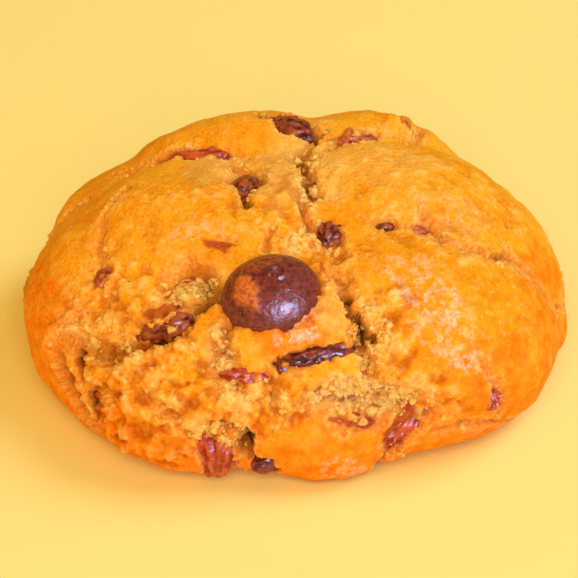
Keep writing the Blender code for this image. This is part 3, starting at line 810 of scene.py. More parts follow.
    def chip_matrix(self, chip: Chip) -> Matrix:
        """Place and turn of a chip, in millimetres: Z out of the crust and X along its length."""
        u, v = np.array(chip.u), np.array(chip.v)
        along_u, along_v, outwards = self.slopes(u, v)
        heading = math.radians(chip.heading)
        middle = self.skin(u, v) + outwards * (self.mound_height(u, v) - chip.sunk)
        z_axis = Vector(outwards).normalized()
        length = Vector(math.cos(heading) * along_u + math.sin(heading) * along_v)
        x_axis = (length - z_axis * length.dot(z_axis)).normalized()
        turn = Matrix((x_axis, z_axis.cross(x_axis), z_axis)).transposed().to_4x4()
        return Matrix.Translation(Vector(middle)) @ turn

    def nearness(self, place: Array, width: float) -> Tuple[Array, Array]:
        """How near each place is to a chip's surface: 1 at it and inside, 0 beyond a width.

        Args:
            place: Places in millimetres.
            width: How far from a chip it fades, in millimetres.

        Returns:
            The nearness to any chip, and the greatest nearness times its chip's veil.
        """
        most = np.zeros(place.shape[:-1])
        veil = np.zeros(place.shape[:-1])
        for chip in CHIPS.values():
            size = np.array([chip.half_length, chip.half_width, chip.half_thickness])
            back = np.array(self.chip_matrix(chip).inverted())
            local = place @ back[:3, :3].T + back[:3, 3]
            gap = (np.linalg.norm(local / size, axis=-1) - 1.0) * size.min()
            near = np.clip(1.0 - gap / width, 0.0, 1.0)
            most = np.maximum(most, near)
            veil = np.maximum(veil, near * chip.veil)
        return most, veil

    def sample(self, u: Array, v: Array) -> CrustSample:
        """The finished crust at (u, v): dome, lobes, cracks, lumps, and crumb where it is broken.

        Args:
            u: Skin places to the right.
            v: Skin places away from the front.

        Returns:
            The places and masks there.
        """
        base = self.skin(u, v)
        outwards = self.slopes(u, v)[2]
        wander = [layered(base, self.wander, seed) for seed in (1, 2)]
        ragged = [self.ragged_edge * layered(base, self.ragged, seed) for seed in (5, 7)]
        fray = layered(base, self.fray)

        def zones(ovals: Dict[str, Oval], shift: float = 0.0, share: float = 1.0) -> Array:
            """How far each place lies in the ovals, by shares of the ragged shift and the fray."""
            return self.zones(u + shift * ragged[0], v + shift * ragged[1], ovals, share * fray)

        depth, lip = self.cracks(u + ragged[0], v + ragged[1])
        broken = smooth_step(1.0 - lip / self.lip_width + self.lip_fray * fray)
        crumb = np.maximum(self.lip_crumb * broken, zones(CRUMB_ZONES))
        rough = np.maximum(crumb, zones(ROUGH_ZONES))
        # Dried butter: fine beads in the relief, a glossier surface, and pink-white glints painted into
        # the colour
        grease_and_glints = zones(GREASE_AND_GLINT_ZONES) * (1.0 - self.crumb_grease_loss * crumb)
        red = zones(RED_ZONES, self.red_ragged, self.red_fray)
        # Holes: the relief sinks there below, and their colour is painted near black as shadow
        dark = zones(HOLE_SHADOW_ZONES, self.hole_shadow_ragged, self.hole_shadow_fray)

        torn = ramp(rough, *self.torn)
        plates, foot = self.tears.plates(base)
        fine = self.grain.height(base, rough, grease_and_glints)
        relief = self.mound_height(u + wander[0], v + wander[1])
        relief = relief + layered(base, self.lumps) + fine + torn * plates
        near, veil = self.nearness(base + outwards * (relief - depth)[..., None], self.cover_width)
        depth = depth * (1.0 - veil)
        cover = self.cover_height * near * layered(base, self.cover)
        relief = relief - depth + cover - self.hole_depth * dark
        relief = relief * smooth_step(base[..., 2] / self.relief_fade)

        place = base + outwards * relief[..., None]
        edge = smooth_step((np.hypot(u, v) - self.reach[-1]) / self.lift_reach + 1.0)
        place[..., 2] = np.maximum(place[..., 2] + edge * bell(np.arctan2(v, u), LIFTS), 0.0)
        near = self.nearness(place, self.stain_width)[0]
        stain = ramp(near + self.stain_fray * fray, *self.stain)
        deep = np.maximum(ramp(place[..., 2] - self.deep_fray * fray, *self.deep), zones(DEEP_ZONES))
        # Painted shade in the low places of the fine relief; the foot of torn cliffs gets it too
        gap = ramp(fine, *self.gap) * (self.smooth_gap_shade + (1.0 - self.smooth_gap_shade) * rough)
        return CrustSample(
            place=place,
            outwards=outwards,
            crumb=crumb,
            rough=rough,
            pale=zones(PALE_ZONES),
            deep=deep,
            crevice_shade=ramp(depth, *self.crevice_shade),
            tip=ramp(fine, *self.tip) * (1.0 - self.deep_highlight_loss * deep),
            gap=np.maximum(gap, self.cliff_foot_shade * torn * foot),
            stain=np.maximum(stain * np.maximum(crumb, self.crust_stain), red),
            dark=dark,
            thin=zones(THIN_ZONES, share=self.thin_fray),
            grease_and_glints=grease_and_glints,
        )

    def in_metres(self, place: Array) -> Array:
        """Moves places from the dome's axis to the part's origin, and turns them to metres."""
        return (place + np.array([*self.axis_place, 0.0])) * MM


def mesh_object(name: str, places: Array, faces: Array, masks: Dict[str, Array]) -> bpy.types.Object:
    """Makes a smooth-shaded object at the origin from arrays.

    Args:
        name: The object's name.
        places: Vertices in metres, three numbers each.
        faces: Vertex numbers of each face, all with the same count of corners.
        masks: Values for each vertex that the material reads by name.

    Returns:
        The linked object.
    """
    mesh = bpy.data.meshes.new(name)
    corners = faces.shape[1]
    mesh.vertices.add(len(places))
    mesh.vertices.foreach_set("co", places.astype(np.float32).ravel())
    mesh.loops.add(faces.size)
    mesh.loops.foreach_set("vertex_index", faces.astype(np.int32).ravel())
    mesh.polygons.add(len(faces))
    mesh.polygons.foreach_set("loop_start", np.arange(0, faces.size, corners, dtype=np.int32))
    mesh.update(calc_edges=True)
    mesh.validate()
    for key, values in masks.items():
        layer = mesh.attributes.new(key, "FLOAT", "POINT")
        layer.data.foreach_set("value", np.asarray(values, dtype=np.float32).ravel())
    mesh.shade_smooth()
    made = bpy.data.objects.new(name, mesh)
    bpy.context.scene.collection.objects.link(made)
    return made


def grid_faces(columns: int, rows: int) -> Array:
    """Quads of a grid of vertices stored row by row, counted anticlockwise from above."""
    first = np.arange(columns * rows).reshape(rows, columns)
    quads = (first[:-1, :-1], first[:-1, 1:], first[1:, 1:], first[1:, :-1])
    return np.stack(quads, axis=-1).reshape(-1, 4)


def connect(tree: bpy.types.NodeTree, node: bpy.types.Node, inputs: Inputs) -> None:
    """Links sockets to a node's inputs and sets plain values on them.

    Args:
        tree: The material's node tree.
        node: The node.
        inputs: Sockets and values, by the input's name or number, or in the inputs' order.
    """
    for key, value in inputs.items() if isinstance(inputs, dict) else enumerate(inputs):
        if isinstance(value, bpy.types.NodeSocket):
            tree.links.new(value, node.inputs[key])
        else:
            node.inputs[key].default_value = value


def add_node(tree: bpy.types.NodeTree, kind: str, inputs: Inputs, output: Union[str, int] = 0,
             **settings: Setting) -> bpy.types.NodeSocket:
    """Adds one shader node.

    Args:
        tree: The material's node tree.
        kind: The node's type, without its ShaderNode prefix.
        inputs: Sockets and values for its inputs, by name or number, or in their order.
        output: The name or number of the output that is wanted.
        **settings: The node's own properties.

    Returns:
        The socket of that output.
    """
    made = tree.nodes.new("ShaderNode" + kind)
    for key, value in settings.items():
        setattr(made, key, value)
    connect(tree, made, inputs)
    return made.outputs[output]


def start_material(name: str) -> Tuple[bpy.types.Material, bpy.types.NodeTree, bpy.types.Node]:
    """Makes a material with nodes, and returns it with its tree and its shader."""
    material = bpy.data.materials.new(name)
    material.use_nodes = True
    return material, material.node_tree, material.node_tree.nodes["Principled BSDF"]


@dataclass(frozen=True)
class Coat:
    """A shade laid over a colour, as thick as an amount says between its start and its full value."""

    amount: bpy.types.NodeSocket
    shade: Union[str, bpy.types.NodeSocket]
    most: float = 1.0
    start: float = 0.0
    full: float = 1.0


def lay_coats(tree: bpy.types.NodeTree, base: str, coats: Iterable[Coat]) -> bpy.types.NodeSocket:
    """Lays coats over a base colour, one after another.

    Args:
        tree: The material's node tree.
        base: The colour beneath, as sRGB hex.
        coats: The coats, lowest first.

    Returns:
        The socket of the colour on top.
    """
    colour = linear(base)
    for coat in coats:
        thick = add_node(tree, "MapRange", (coat.amount, coat.start, coat.full, 0.0, coat.most))
        over = linear(coat.shade) if isinstance(coat.shade, str) else coat.shade
        colour = add_node(tree, "Mix", {FACTOR: thick, UNDER: colour, OVER: over}, MIXED,
                          data_type="RGBA")
    return colour


@dataclass(frozen=True)
class BakedDough:
    """Butter cookie dough, dropped in mounds and baked golden.

    The heat browns its skin to an orange gold and dries it to a fine, slightly greasy grain. Where
    the skin has torn, the crumb shows paler, matt, in soft grains. Light goes a little way in. The
    gaps between grains are painted a deep orange shade and the deepest cracks a brown shade, the
    grain tops carry painted highlights, and dried butter carries painted pink-white glints.
    """

    crust_light: str = "#FFB236"
    crust_mid: str = "#F79A14"
    crust_deep: str = "#F07C00"
    crumb_light: str = "#FFCE98"
    crumb_deep: str = "#FFA44C"
    pale: str = "#FFCC8C"
    # Painted highlight on the high places of the grain, on pale specks and on crumbs
    tip: str = "#FFD8AC"
    # Painted shade between grains, in pores and at the foot of torn cliffs
    gap: str = "#BC5C0E"
    # Painted shade deep in the cracks
    crevice_shade: str = "#7E2A04"
    melted: str = "#A83A26"
    # Painted near-black shadow in holes
    dark: str = "#26090A"
    thin: str = "#C08E34"
    # Painted pink-white glints where butter has dried
    grease_and_glints: str = "#FFC8BE"
    # Baked underside, and painted shade low on the sides where the cookie meets the ground
    foot: str = "#B85E10"
    crust_roughness: float = 0.6
    crumb_roughness: float = 0.85
    grease_roughness: float = 0.3
    dry_gloss: float = 0.02
    butter_gloss: float = 0.55
    patch_mm: float = 7.0
    blotch_mm: float = 1.6
    fleck_mm: float = 0.45
    glint_mm: float = 1.0
    spark_mm: float = 0.36
    speck_mm: float = 0.7
    pore_mm: float = 0.9
    grain_mm: float = 0.3
    pebble_mm: float = 0.5
    bump_mm: float = 0.15
    bump_strength: float = 0.8
    glow: float = 0.3
    glow_mm: float = 1.2
    glow_reach: Tuple[float, float, float] = (1.0, 0.4, 0.1)
    ior: float = 1.45

    def make(self) -> bpy.types.Material:
        """Builds the material; patterns are scaled by the real size of what they draw."""
        material, tree, shader = start_material("baked_dough")
        add = partial(add_node, tree)
        place = add("TexCoord", {}, "Object")
        mask = {name: add("Attribute", {}, "Fac", attribute_name=name)
                for name in (*CRUST_MASKS, "shade", "foot")}

        def pattern(size_mm: float, detail: float, low: float, high: float) -> bpy.types.NodeSocket:
            """Noise whose largest spots have the given size, stretched from low to high."""
            spots = add("TexNoise", {"Vector": place, "Scale": 1.0 / (size_mm * MM), "Detail": detail},
                        "Fac")
            return add("MapRange", (spots, low, high, 0.0, 1.0))

        flecks = pattern(self.fleck_mm, 3.0, 0.34, 0.66)
        sparks = add("MapRange", (pattern(self.spark_mm, 2.0, 0.42, 0.54), 0.0, 1.0, 0.35, 1.0))
        # Where butter has dried: lower roughness and more gloss, and painted pink-white glints in the
        # colour
        butter = add("Math", (pattern(self.glint_mm, 4.0, 0.45, 0.55), mask["grease_and_glints"]),
                     operation="MULTIPLY")
        butter = add("Math", (butter, sparks), operation="MULTIPLY")

        # Pale specks painted as highlights and dark pores painted as shade, strewn from least to most as
        # the crust gets coarser
        spots = []
        baked = add("MapRange", (mask["deep"], 0.0, 1.0, 1.0, 0.3))
        for size_mm, low, high, least, most, shade in ((self.speck_mm, 0.54, 0.72, 0.2, 0.9, self.tip),
                                                       (self.pore_mm, 0.4, 0.24, 0.06, 0.6, self.gap)):
            strewn = add("MapRange", (mask["rough"], 0.0, 1.0, least, most))
            amount = add("Math", (pattern(size_mm, 2.0, low, high), strewn), operation="MULTIPLY")
            spots.append(Coat(add("Math", (amount, baked), operation="MULTIPLY"), shade))

        colour = lay_coats(tree, self.crust_light, (
            Coat(pattern(self.patch_mm, 3.0, 0.38, 0.62), self.crust_mid),
            Coat(mask["deep"], self.crust_deep),
            Coat(pattern(self.blotch_mm, 3.0, 0.36, 0.64), self.crust_light, 0.5),
            Coat(mask["crumb"], lay_coats(tree, self.crumb_deep, [Coat(flecks, self.crumb_light)])),
            # Painted pink-white glints
            Coat(butter, self.grease_and_glints),
            *spots,
            Coat(mask["pale"], self.pale, 0.7),
            # Painted highlights on the high places
            Coat(mask["tip"], self.tip, 0.68),
            Coat(mask["thin"], self.thin, 0.6),
            # Baked underside and painted contact shade
            Coat(mask["foot"], self.foot, 0.8),
            # Painted shade in the low places of the relief
            Coat(mask["gap"], self.gap, 0.72),
            # Painted shade, darker the deeper a crack is
            Coat(mask["crevice_shade"], self.crevice_shade, 0.7),
            Coat(mask["stain"], self.melted, 0.85),
            # Painted shadow in holes
            Coat(mask["dark"], self.dark, 0.92),
        ))
        for tint in (add("MapRange", (flecks, 0.0, 1.0, 0.9, 1.08)), mask["shade"]):
            colour = add("Mix", {FACTOR: 1.0, UNDER: colour, OVER: tint}, MIXED, data_type="RGBA",
                         blend_type="MULTIPLY")

        rough = add("MapRange", (mask["crumb"], 0.0, 1.0, self.crust_roughness, self.crumb_roughness))
        rough = add("Mix", {FACTOR: butter, UNDER: rough, OVER: (self.grease_roughness,) * 3 + (1.0,)},
                    MIXED, data_type="RGBA")
        pebbles = add("TexVoronoi", {"Vector": place, "Scale": 1.0 / (self.pebble_mm * MM)}, "Distance")
        height = add("Math", (pattern(self.grain_mm, 4.0, 0.25, 0.75), pebbles), operation="SUBTRACT")
        connect(tree, shader, {
            "Base Color": colour,
            "Roughness": rough,
            "Normal": add("Bump", {"Height": height, "Strength": self.bump_strength,
                                   "Distance": self.bump_mm * MM}),
            "Specular IOR Level": add("MapRange", (butter, 0.0, 1.0, self.dry_gloss, self.butter_gloss)),
            "Subsurface Weight": self.glow,
            "Subsurface Radius": self.glow_reach,
            "Subsurface Scale": self.glow_mm * MM,
            "IOR": self.ior,
        })
        return material


@dataclass(frozen=True)
class MilkChocolate:
    """Milk chocolate drops, melted in the oven and set again.

    Setting slowly leaves a soft gloss, a reddish brown that pales to pink where the fat has bloomed,
    and a film of dough where the batter clung.
    """

    tone: Tone
    film: str = "#DC7A38"
    film_deep: str = "#A8562E"
    bloom: str = "#B98078"
    roughness: float = 0.26
    mottle_mm: float = 0.6
    grain_mm: float = 0.25
    bump_mm: float = 0.12
    film_grain_mm: float = 0.5
    film_roughness: float = 0.35
    bump_strength: float = 0.6
    coat: float = 0.2
    coat_roughness: float = 0.19
    gloss: float = 0.3
    glow: float = 0.05
    glow_mm: float = 0.6
    ior: float = 1.5

    def shades(self) -> Tuple[str, str]:
        """The dark and the light colour of this tone."""
        return {
            Tone.GLOSSY: ("#481A2E", "#8A3A4A"),
            Tone.PLUM: ("#4C1620", "#9A4E50"),
            Tone.ROSY: ("#8C3030", "#CE7662"),
            Tone.RED: ("#8E241E", "#CA5E50"),
        }[self.tone]

    def make(self) -> bpy.types.Material:
        """Builds the material for one tone."""
        material, tree, shader = start_material("milk_chocolate_" + self.tone.value)
        add = partial(add_node, tree)
        place = add("TexCoord", {}, "Object")
        film, streak = (add("Attribute", {}, "Fac", attribute_name=name) for name in ("film", "streak"))
        torn, mottle, grain = (
            add("TexNoise", {"Vector": place, "Scale": 1.0 / (size_mm * MM), "Detail": detail}, "Fac")
            for size_mm, detail in (
                (self.film_grain_mm, 4.0), (self.mottle_mm, 4.0), (self.grain_mm, 3.0),
            )
        )
        film = add("MapRange", (add("Math", (film, torn), operation="ADD"), 0.65, 1.36, 0.0, 1.0))
        dough = lay_coats(tree, self.film_deep, [Coat(torn, self.film, 1.0, 0.35, 0.65)])
        dark, light = self.shades()
        connect(tree, shader, {
            "Base Color": lay_coats(tree, dark, (
                Coat(add("Math", (mottle, streak), operation="ADD"), light, 1.0, 0.78, 1.22),
                Coat(grain, self.bloom, 0.25, 0.55, 0.75),
                Coat(film, dough),
            )),
            "Roughness": add("Math", (film, self.film_roughness, self.roughness),
                             operation="MULTIPLY_ADD"),
            "Normal": add("Bump", {"Height": grain, "Strength": self.bump_strength,
                                   "Distance": self.bump_mm * MM}),
            "Coat Weight": self.coat if self.tone is Tone.GLOSSY else 0.0,
            "Coat Roughness": self.coat_roughness,
            "Specular IOR Level": self.gloss,
            "IOR": self.ior,
            "Subsurface Weight": self.glow,
            "Subsurface Scale": self.glow_mm * MM,
        })
        return material


@dataclass
class DoughBody:
    """The dough as one closed skin: the crust on a bent square grid, then the flat foot in rings."""

    form: CookieForm
    grid_cells: int = 292
    front_bias: float = 0.2
    foot_lip: float = 1.2
    foot_rings: int = 6
    foot_browning_and_shade: float = 0.8
    foot_browning_and_shade_height: float = 2.0

    def crust_places(self) -> Tuple[Array, Array]:
        """Skin places of the grid: a square bent to a disc and drawn towards the front."""
        line = np.linspace(-1.0, 1.0, self.grid_cells + 1)
        x, y = np.meshgrid(line, line)
        u, v = square_to_disc(x.ravel(), y.ravel())
        v = v - self.front_bias * (1.0 - u ** 2 - v ** 2)
        reach = self.form.reach[-1]
        return u * reach, v * reach

    def rim(self) -> Array:
        """Vertex numbers of the grid's edge, anticlockwise from above."""
        side = self.grid_cells + 1
        number = np.arange(side * side).reshape(side, side)
        return np.concatenate([number[0, :-1], number[:-1, -1], number[-1, :0:-1], number[:0:-1, 0]])

    def build(self, finish: bpy.types.Material) -> bpy.types.Object:
        """Makes the mesh and dresses it.

        Args:
            finish: The baked dough material.

        Returns:
            The dough object.
        """
        crust = self.form.sample(*self.crust_places())
        rim = self.rim()
        side = self.grid_cells + 1
        edge = crust.place[rim]
        radius = np.hypot(edge[:, 0], edge[:, 1])[:, None]
        shares = np.linspace(1.0, 0.0, self.foot_rings + 1)[:-1]
        rings = [np.hstack([edge[:, :2] * (1.0 - self.foot_lip / radius) * share,
                            np.zeros((len(rim), 1))]) for share in shares]
        places = np.vstack([crust.place, *rings, np.zeros((1, 3))])

        loops = [rim] + [side * side + k * len(rim) + np.arange(len(rim)) for k in range(self.foot_rings)]
        strips = []
        for outer, inner in zip(loops, loops[1:]):
            strips.append(np.stack([np.roll(outer, -1), outer, inner, np.roll(inner, -1)], axis=-1))
        last = loops[-1]
        middle = np.full(len(last) // 2, len(places) - 1)
        fan = np.stack([np.roll(last, -2)[::2], np.roll(last, -1)[::2], last[::2], middle], axis=-1)
        faces = np.vstack([grid_faces(side, side), *strips, fan])

        below = len(places) - side * side
        masks = {name: np.concatenate([getattr(crust, name), np.zeros(below)]) for name in CRUST_MASKS}
        masks["shade"] = np.ones(len(places))
        # Lowest sides and underside take the foot colour: baked underside, and painted shade along the
        # contact with the ground
        tint = self.foot_browning_and_shade * ramp(crust.place[:, 2], self.foot_browning_and_shade_height, 0.0)
        masks["foot"] = np.concatenate([tint, np.ones(below)])
        made = mesh_object("baked_dough", self.form.in_metres(places), faces, masks)
        made.data.materials.append(finish)
        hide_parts("dough")
        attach(made, ROOT)
        return made


@dataclass
class Crumbs:
    """Crumbs that stand on the broken crust, half sunk, as one joined mesh of uneven lumps.

    Sizes are in millimetres. A pair is the ends of a range that is drawn from evenly.
    """

    form: CookieForm
    name: str = "crumbs"
    count: int = 1150
    seed: int = 41
    middle_size: float = 0.42
    size_spread: float = 0.35
    smallest: float = 0.25
    largest: float = 0.75
    subdivisions: int = 2
    tries: int = 60000
    reach_share: float = 0.93
    lowest: float = 1.0
    least_crumb: float = 0.4
    crumb_power: float = 1.5
    stain_loss: float = 0.7
    stretch: Tuple[float, float] = (0.45, 1.0)
    lump: float = 0.75
    fine_lump: float = 0.6
    coarse_scale: float = 1.5
    fine_scale: float = 3.4
    apart: float = 9.0
    sink: float = 0.55
    # Range from which each crumb draws its painted highlight
    painted_highlights: Tuple[float, float] = (0.5, 1.0)
    shades: Tuple[float, float] = (0.98, 1.15)
    # Share of the painted crack shade that a crumb keeps
    crevice_shade_share: float = 0.2
    # Share of the painted shade between grains that a crumb keeps
    gap_shade_share: float = 0.0
    stain_share: float = 0.25

    def pebble(self) -> Tuple[Array, Array]:
        """Vertices and faces of one round pebble, an icosphere."""
        bm = bmesh.new()
        bmesh.ops.create_icosphere(bm, subdivisions=self.subdivisions, radius=1.0)
        bm.verts.index_update()
        places = np.array([vert.co for vert in bm.verts], dtype=float)
        faces = np.array([[vert.index for vert in face.verts] for face in bm.faces])
        bm.free()
        return places, faces

    def turns(self, rng: np.random.Generator, count: int) -> Array:
        """Random rotation matrices, from unit quaternions drawn evenly."""
        q = rng.normal(size=(count, 4))
        w, x, y, z = (q / np.linalg.norm(q, axis=1, keepdims=True)).T
        rows = [
            [1 - 2 * (y * y + z * z), 2 * (x * y - z * w), 2 * (x * z + y * w)],
            [2 * (x * y + z * w), 1 - 2 * (x * x + z * z), 2 * (y * z - x * w)],
            [2 * (x * z - y * w), 2 * (y * z + x * w), 1 - 2 * (x * x + y * y)],
        ]
        return np.moveaxis(np.array(rows), -1, 0)

    def build(self, finish: bpy.types.Material) -> bpy.types.Object:
        """Scatters the crumbs where the crust is broken and joins them into one mesh.

        Args:
            finish: The baked dough material.

        Returns:
            The crumbs object.
        """
        rng = np.random.default_rng(self.seed)
        angle = rng.uniform(0.0, 2.0 * math.pi, self.tries)
        reach = self.form.reach[-1] * self.reach_share * np.sqrt(rng.uniform(0.0, 1.0, self.tries))
        spots = self.form.sample(reach * np.cos(angle), reach * np.sin(angle))
        weight = np.clip(spots.crumb - self.least_crumb, 0.0, 1.0) ** self.crumb_power
        weight = weight * (1.0 - spots.dark) * (1.0 - self.stain_loss * spots.stain)
        weight = weight * (spots.place[:, 2] > self.lowest)
        picked = rng.choice(self.tries, self.count, replace=False, p=weight / weight.sum())

        pebble, faces = self.pebble()
        size = np.clip(self.middle_size * np.exp(self.size_spread * rng.normal(size=self.count)),
                       self.smallest, self.largest)
        stretch = rng.uniform(*self.stretch, (self.count, 1, 3)) * size[:, None, None]
        number = np.arange(self.count)[:, None, None]
        apart = self.apart * number
        lumps = noise(pebble[None] * self.coarse_scale + apart, 1.0, 21)
        lumps = lumps + self.fine_lump * noise(pebble[None] * self.fine_scale + apart, 1.0, 22)
        shape = pebble[None] * (1.0 + self.lump * lumps)[..., None] * stretch
        turned = np.einsum("nij,nvj->nvi", self.turns(rng, self.count), shape)
        middle = spots.place[picked] - spots.outwards[picked] * (self.sink * size)[:, None]
        places = (turned + middle[:, None]).reshape(-1, 3)
        joined = (faces[None] + len(pebble) * number).reshape(-1, 3)

        spread = partial(np.repeat, repeats=len(pebble))
        masks = {name: spread(getattr(spots, name)[picked]) for name in CRUST_MASKS}
        masks["crevice_shade"] = self.crevice_shade_share * masks["crevice_shade"]
        masks["gap"] = self.gap_shade_share * masks["gap"]
        masks["stain"] = self.stain_share * masks["stain"]
        masks["tip"] = np.maximum(masks["tip"], spread(rng.uniform(*self.painted_highlights, self.count)))
        masks["shade"] = spread(rng.uniform(*self.shades, self.count))
        masks["foot"] = np.zeros(len(places))
        made = mesh_object(self.name, self.form.in_metres(places), joined, masks)
        made.data.materials.append(finish)
        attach(made, ROOT)
        return made


@dataclass
class ChocolateChip:
    """One piece of chocolate: a rounded pebble, lumpy and folded where it melted.

    Sizes are in millimetres. The large chip is finer, melted less, and has a set point and dough on
    it: an oval's height is the film's strength, in the chip's own directions.
    """

    form: CookieForm
    name: str
    chip: Chip
    turns: int = 56
    tilts: int = 36
    large_detail: int = 3
    lump: float = 0.12
    lump_size: float = 1.3
    melt: float = 0.45
    large_melt: float = 0.12
    melted: Tuple[Layer, ...] = (Layer(0.7, 1.4, 34), Layer(0.6, 0.6, 35))
    fold_height: float = 0.6
    fold_size: float = 1.1
    fold_level: float = 0.35
    streak_height: float = 0.35
    streak_size: float = 0.42
    streak_stretch: Tuple[float, float, float] = (0.3, 1.0, 1.0)
    film_height: float = 0.16
    film_size: float = 1.2
    film_gain: float = 2.2
    film_start: float = 0.25
    film_most: float = 0.4
    rosy_film_most: float = 0.65
    smear: Oval = Oval(-3.1, 0.1, 1.7, 2.9, 0, 0.9)
    smear_edge: float = 1.1
    smear_fray: float = 0.6
    top_film: Oval = Oval(-1.0, 3.0, 4.2, 1.6, 0, 0.4)
    top_edge: float = 1.2
    fray: Tuple[Layer, ...] = (Layer(0.4, 1.3, 31), Layer(0.4, 0.5, 32))
    point: Tuple[float, float] = (0.9, 0.8)
    curl_radius: float = 0.75
    curl_turn: float = 0.1
    curl_width: float = 0.28
    curl_height: float = 0.34
    dimple_radius: float = 0.5
    dimple_depth: float = 0.2

    def film(self, local: Array) -> Array:
        """Dough clinging to the chip; the large one has a smear on its left and a film on its top."""
        if self.name != "chip_large":
            most = self.rosy_film_most if self.chip.tone is Tone.ROSY else self.film_most
            spots = noise(local + self.chip.u, self.film_size, 33)
            return np.clip(spots * self.film_gain - self.film_start, 0.0, most)
        fray = layered(local, self.fray)
        x, y = local[:, 0], local[:, 1]
        smear = self.smear_edge * inside_oval(x, y, self.smear) + self.smear_fray * fray
        top = self.top_edge * inside_oval(x, y, self.top_film) + fray
        return np.maximum(self.smear.height * smooth_step(smear),
                          self.top_film.height * smooth_step(top))

    def tip(self, local: Array) -> Array:
        """The drop's set point on the large chip: a low curled ridge round a shallow dimple."""
        if self.name != "chip_large":
            return np.zeros(len(local))
        across, along = local[:, 0] - self.point[0], local[:, 1] - self.point[1]
        away = np.hypot(across, along)
        radius = self.curl_radius + self.curl_turn * np.arctan2(along, across)
        ridge = self.curl_height * np.exp(-(((away - radius) / self.curl_width) ** 2))
        dimple = self.dimple_depth * np.exp(-((away / self.dimple_radius) ** 2))
        return (local[:, 2] > 0) * (ridge - dimple)

    def build(self, finish: bpy.types.Material) -> bpy.types.Object:
        """Makes the piece: a unit sphere by turn and tilt, scaled to the chip, with lumps and melt.

        Args:
            finish: The chocolate material of the chip's tone.

        Returns:
            The chip object.
        """
        large = self.name == "chip_large"
        detail = self.large_detail if large else 1
        turns, tilts = self.turns * detail, self.tilts * detail
        turn = np.linspace(0.0, 2.0 * math.pi, turns, endpoint=False)
        tilt = np.linspace(-math.pi / 2, math.pi / 2, tilts + 1)[1:-1]
        a, b = np.meshgrid(turn, tilt)
        unit = np.stack([np.cos(b) * np.cos(a), np.cos(b) * np.sin(a), np.sin(b)], axis=-1).reshape(-1, 3)
        unit = np.vstack([unit, [[0.0, 0.0, -1.0], [0.0, 0.0, 1.0]]])
        size = np.array([self.chip.half_length, self.chip.half_width, self.chip.half_thickness])
        lumps = self.lump * noise(unit + np.array([self.chip.u, self.chip.v, 0.0]), self.lump_size, 4)
        local = unit * size * (1.0 if large else 1.0 + lumps[:, None])
        film = self.film(local)
        streak = noise(local * np.array(self.streak_stretch) + self.chip.u, self.streak_size, 36)
        streak = streak * (not large)
        folds = self.fold_level - np.abs(noise(local + self.chip.v, self.fold_size, 37))
        melt = layered(local, self.melted) + self.fold_height * folds + self.streak_height * streak
        melt = self.melt * melt * (self.large_melt if large else 1.0)
        grow = melt + self.tip(local) + self.film_height * film
        local = local + unit * grow[:, None]
        matrix = np.array(self.form.chip_matrix(self.chip))
        places = local @ matrix[:3, :3].T + matrix[:3, 3]

        rows = tilts - 1
        number = np.arange(rows * turns).reshape(rows, turns)
        wrap = np.concatenate([number, number[:, :1]], axis=1)
        quads = np.stack([wrap[:-1, :-1], wrap[:-1, 1:], wrap[1:, 1:], wrap[1:, :-1]], -1).reshape(-1, 4)
        low, high = rows * turns, rows * turns + 1
        ends = [
            np.stack([wrap[0, 2::2], wrap[0, 1::2], wrap[0, :-1:2], np.full(turns // 2, low)], -1),
            np.stack([wrap[-1, :-1:2], wrap[-1, 1::2], wrap[-1, 2::2], np.full(turns // 2, high)], -1),
        ]
        made = mesh_object(self.name.replace("chip", "chocolate", 1), self.form.in_metres(places),
                           np.vstack([quads, *ends]), {"film": film, "streak": 0.5 + 0.5 * streak})
        made.data.materials.append(finish)
        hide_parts(self.name)
        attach(made, ROOT)
        return made


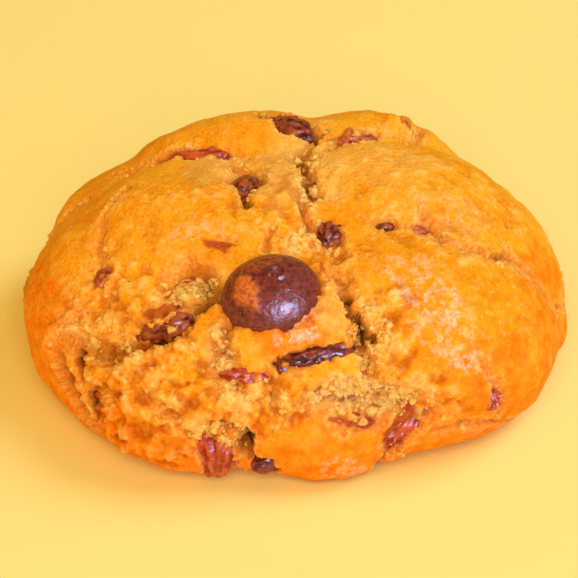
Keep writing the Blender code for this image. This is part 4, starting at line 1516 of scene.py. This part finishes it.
@dataclass
class Studio:
    """The plain yellow ground, the soft lights and sky, and the camera at the photo's angle."""

    ground_colour: str = "#FBEEC6"
    ground_size: float = 3.0
    ground_roughness: float = 0.9
    ground_gloss: float = 0.1
    sky_colour: str = "#FFC534"
    sky_strength: float = 0.42
    camera_distance: float = 0.3
    camera_elevation: float = 35.0
    frame_width: float = 0.0696
    aim: Tuple[float, float, float] = (-0.00096, -0.00065, 0.00778)
    sensor: float = 36.0
    nearest: float = 0.01

    def ground(self) -> bpy.types.Object:
        """Lays the ground at the foot's height."""
        material, tree, shader = start_material("matt_card")
        connect(tree, shader, {"Base Color": linear(self.ground_colour),
                               "Roughness": self.ground_roughness,
                               "Specular IOR Level": self.ground_gloss})
        half = self.ground_size / 2
        corners = np.array([[-half, -half, 0], [half, -half, 0], [half, half, 0], [-half, half, 0]])
        made = mesh_object("ground", corners, np.array([[0, 1, 2, 3]]), {})
        made.data.materials.append(material)
        return made

    def lamp(self, name: str, bearing: float, elevation: float, distance: float, size: float,
             watts: float, colour: str, matt: bool = True, gloss: bool = True) -> bpy.types.Object:
        """Hangs a soft square light that points at the cookie.

        Args:
            name: The light's name.
            bearing: Degrees from +X, anticlockwise from above.
            elevation: Degrees above the ground.
            distance: Metres from the origin.
            size: Side of the light, in metres.
            watts: Its power.
            colour: Its colour as sRGB hex.
            matt: Whether it lights matt surfaces.
            gloss: Whether it shows as a reflection.

        Returns:
            The light object.
        """
        light = bpy.data.lights.new(name, "AREA")
        light.size = size
        light.energy = watts
        light.color = linear(colour)[:3]
        made = bpy.data.objects.new(name, light)
        bpy.context.scene.collection.objects.link(made)
        turn, rise = math.radians(bearing), math.radians(elevation)
        way = Vector((math.cos(turn) * math.cos(rise), math.sin(turn) * math.cos(rise), math.sin(rise)))
        made.location = way * distance
        made.rotation_mode = "QUATERNION"
        made.rotation_quaternion = way.to_track_quat("Z", "Y")
        made.visible_diffuse = matt
        made.visible_glossy = gloss
        return made

    def camera(self) -> bpy.types.Object:
        """Stands the camera in front, looking down at the cookie, and makes it the scene's."""
        lens = bpy.data.cameras.new("camera")
        lens.sensor_width = self.sensor
        lens.lens = self.sensor * self.camera_distance / self.frame_width
        lens.clip_start = self.nearest
        made = bpy.data.objects.new("camera", lens)
        bpy.context.scene.collection.objects.link(made)
        rise = math.radians(self.camera_elevation)
        way = Vector((0.0, -math.cos(rise), math.sin(rise)))
        made.location = Vector(self.aim) + way * self.camera_distance
        made.rotation_mode = "QUATERNION"
        made.rotation_quaternion = way.to_track_quat("Z", "Y")
        bpy.context.scene.camera = made
        return made

    def build(self) -> None:
        """Sets up the ground, lights, sky and camera."""
        self.ground()
        self.lamp("key", 12.0, 48.0, 1.0, 0.55, 4.9, "#E0F6CE", gloss=False)
        self.lamp("left_bounce", -130.0, 14.0, 0.5, 0.3, 0.22, "#FFB828", gloss=False)
        self.lamp("front_right", -50.0, 25.0, 0.6, 0.3, 0.5, "#D2E6E6")
        self.lamp("front_fill", -92.0, 40.0, 1.2, 0.75, 9.4, "#FFE488", gloss=False)
        self.lamp("gloss_card", -56.0, 14.0, 0.6, 0.34, 15.0, "#BCC8FF", matt=False)
        world = bpy.data.worlds.new("soft_sky")
        bpy.context.scene.world = world
        world.use_nodes = True
        connect(world.node_tree, world.node_tree.nodes["Background"],
                {"Color": linear(self.sky_colour), "Strength": self.sky_strength})
        bpy.context.scene.view_settings.view_transform = "Standard"
        self.camera()


def report(piece: bpy.types.Object) -> None:
    """Logs a finished piece with its count of faces."""
    LOG.info("%s: %d faces", piece.name, len(piece.data.polygons))


def main() -> None:
    """Builds the cookie's pieces in order, then the studio."""
    logging.basicConfig(level=logging.INFO, format="%(message)s")
    form = CookieForm()
    dough = BakedDough().make()
    report(DoughBody(form).build(dough))
    report(Crumbs(form).build(dough))
    chocolate = {tone: MilkChocolate(tone).make() for tone in Tone}
    for name, chip in CHIPS.items():
        report(ChocolateChip(form, name, chip).build(chocolate[chip.tone]))
    Studio().build()


if __name__ == "__main__":
    main()
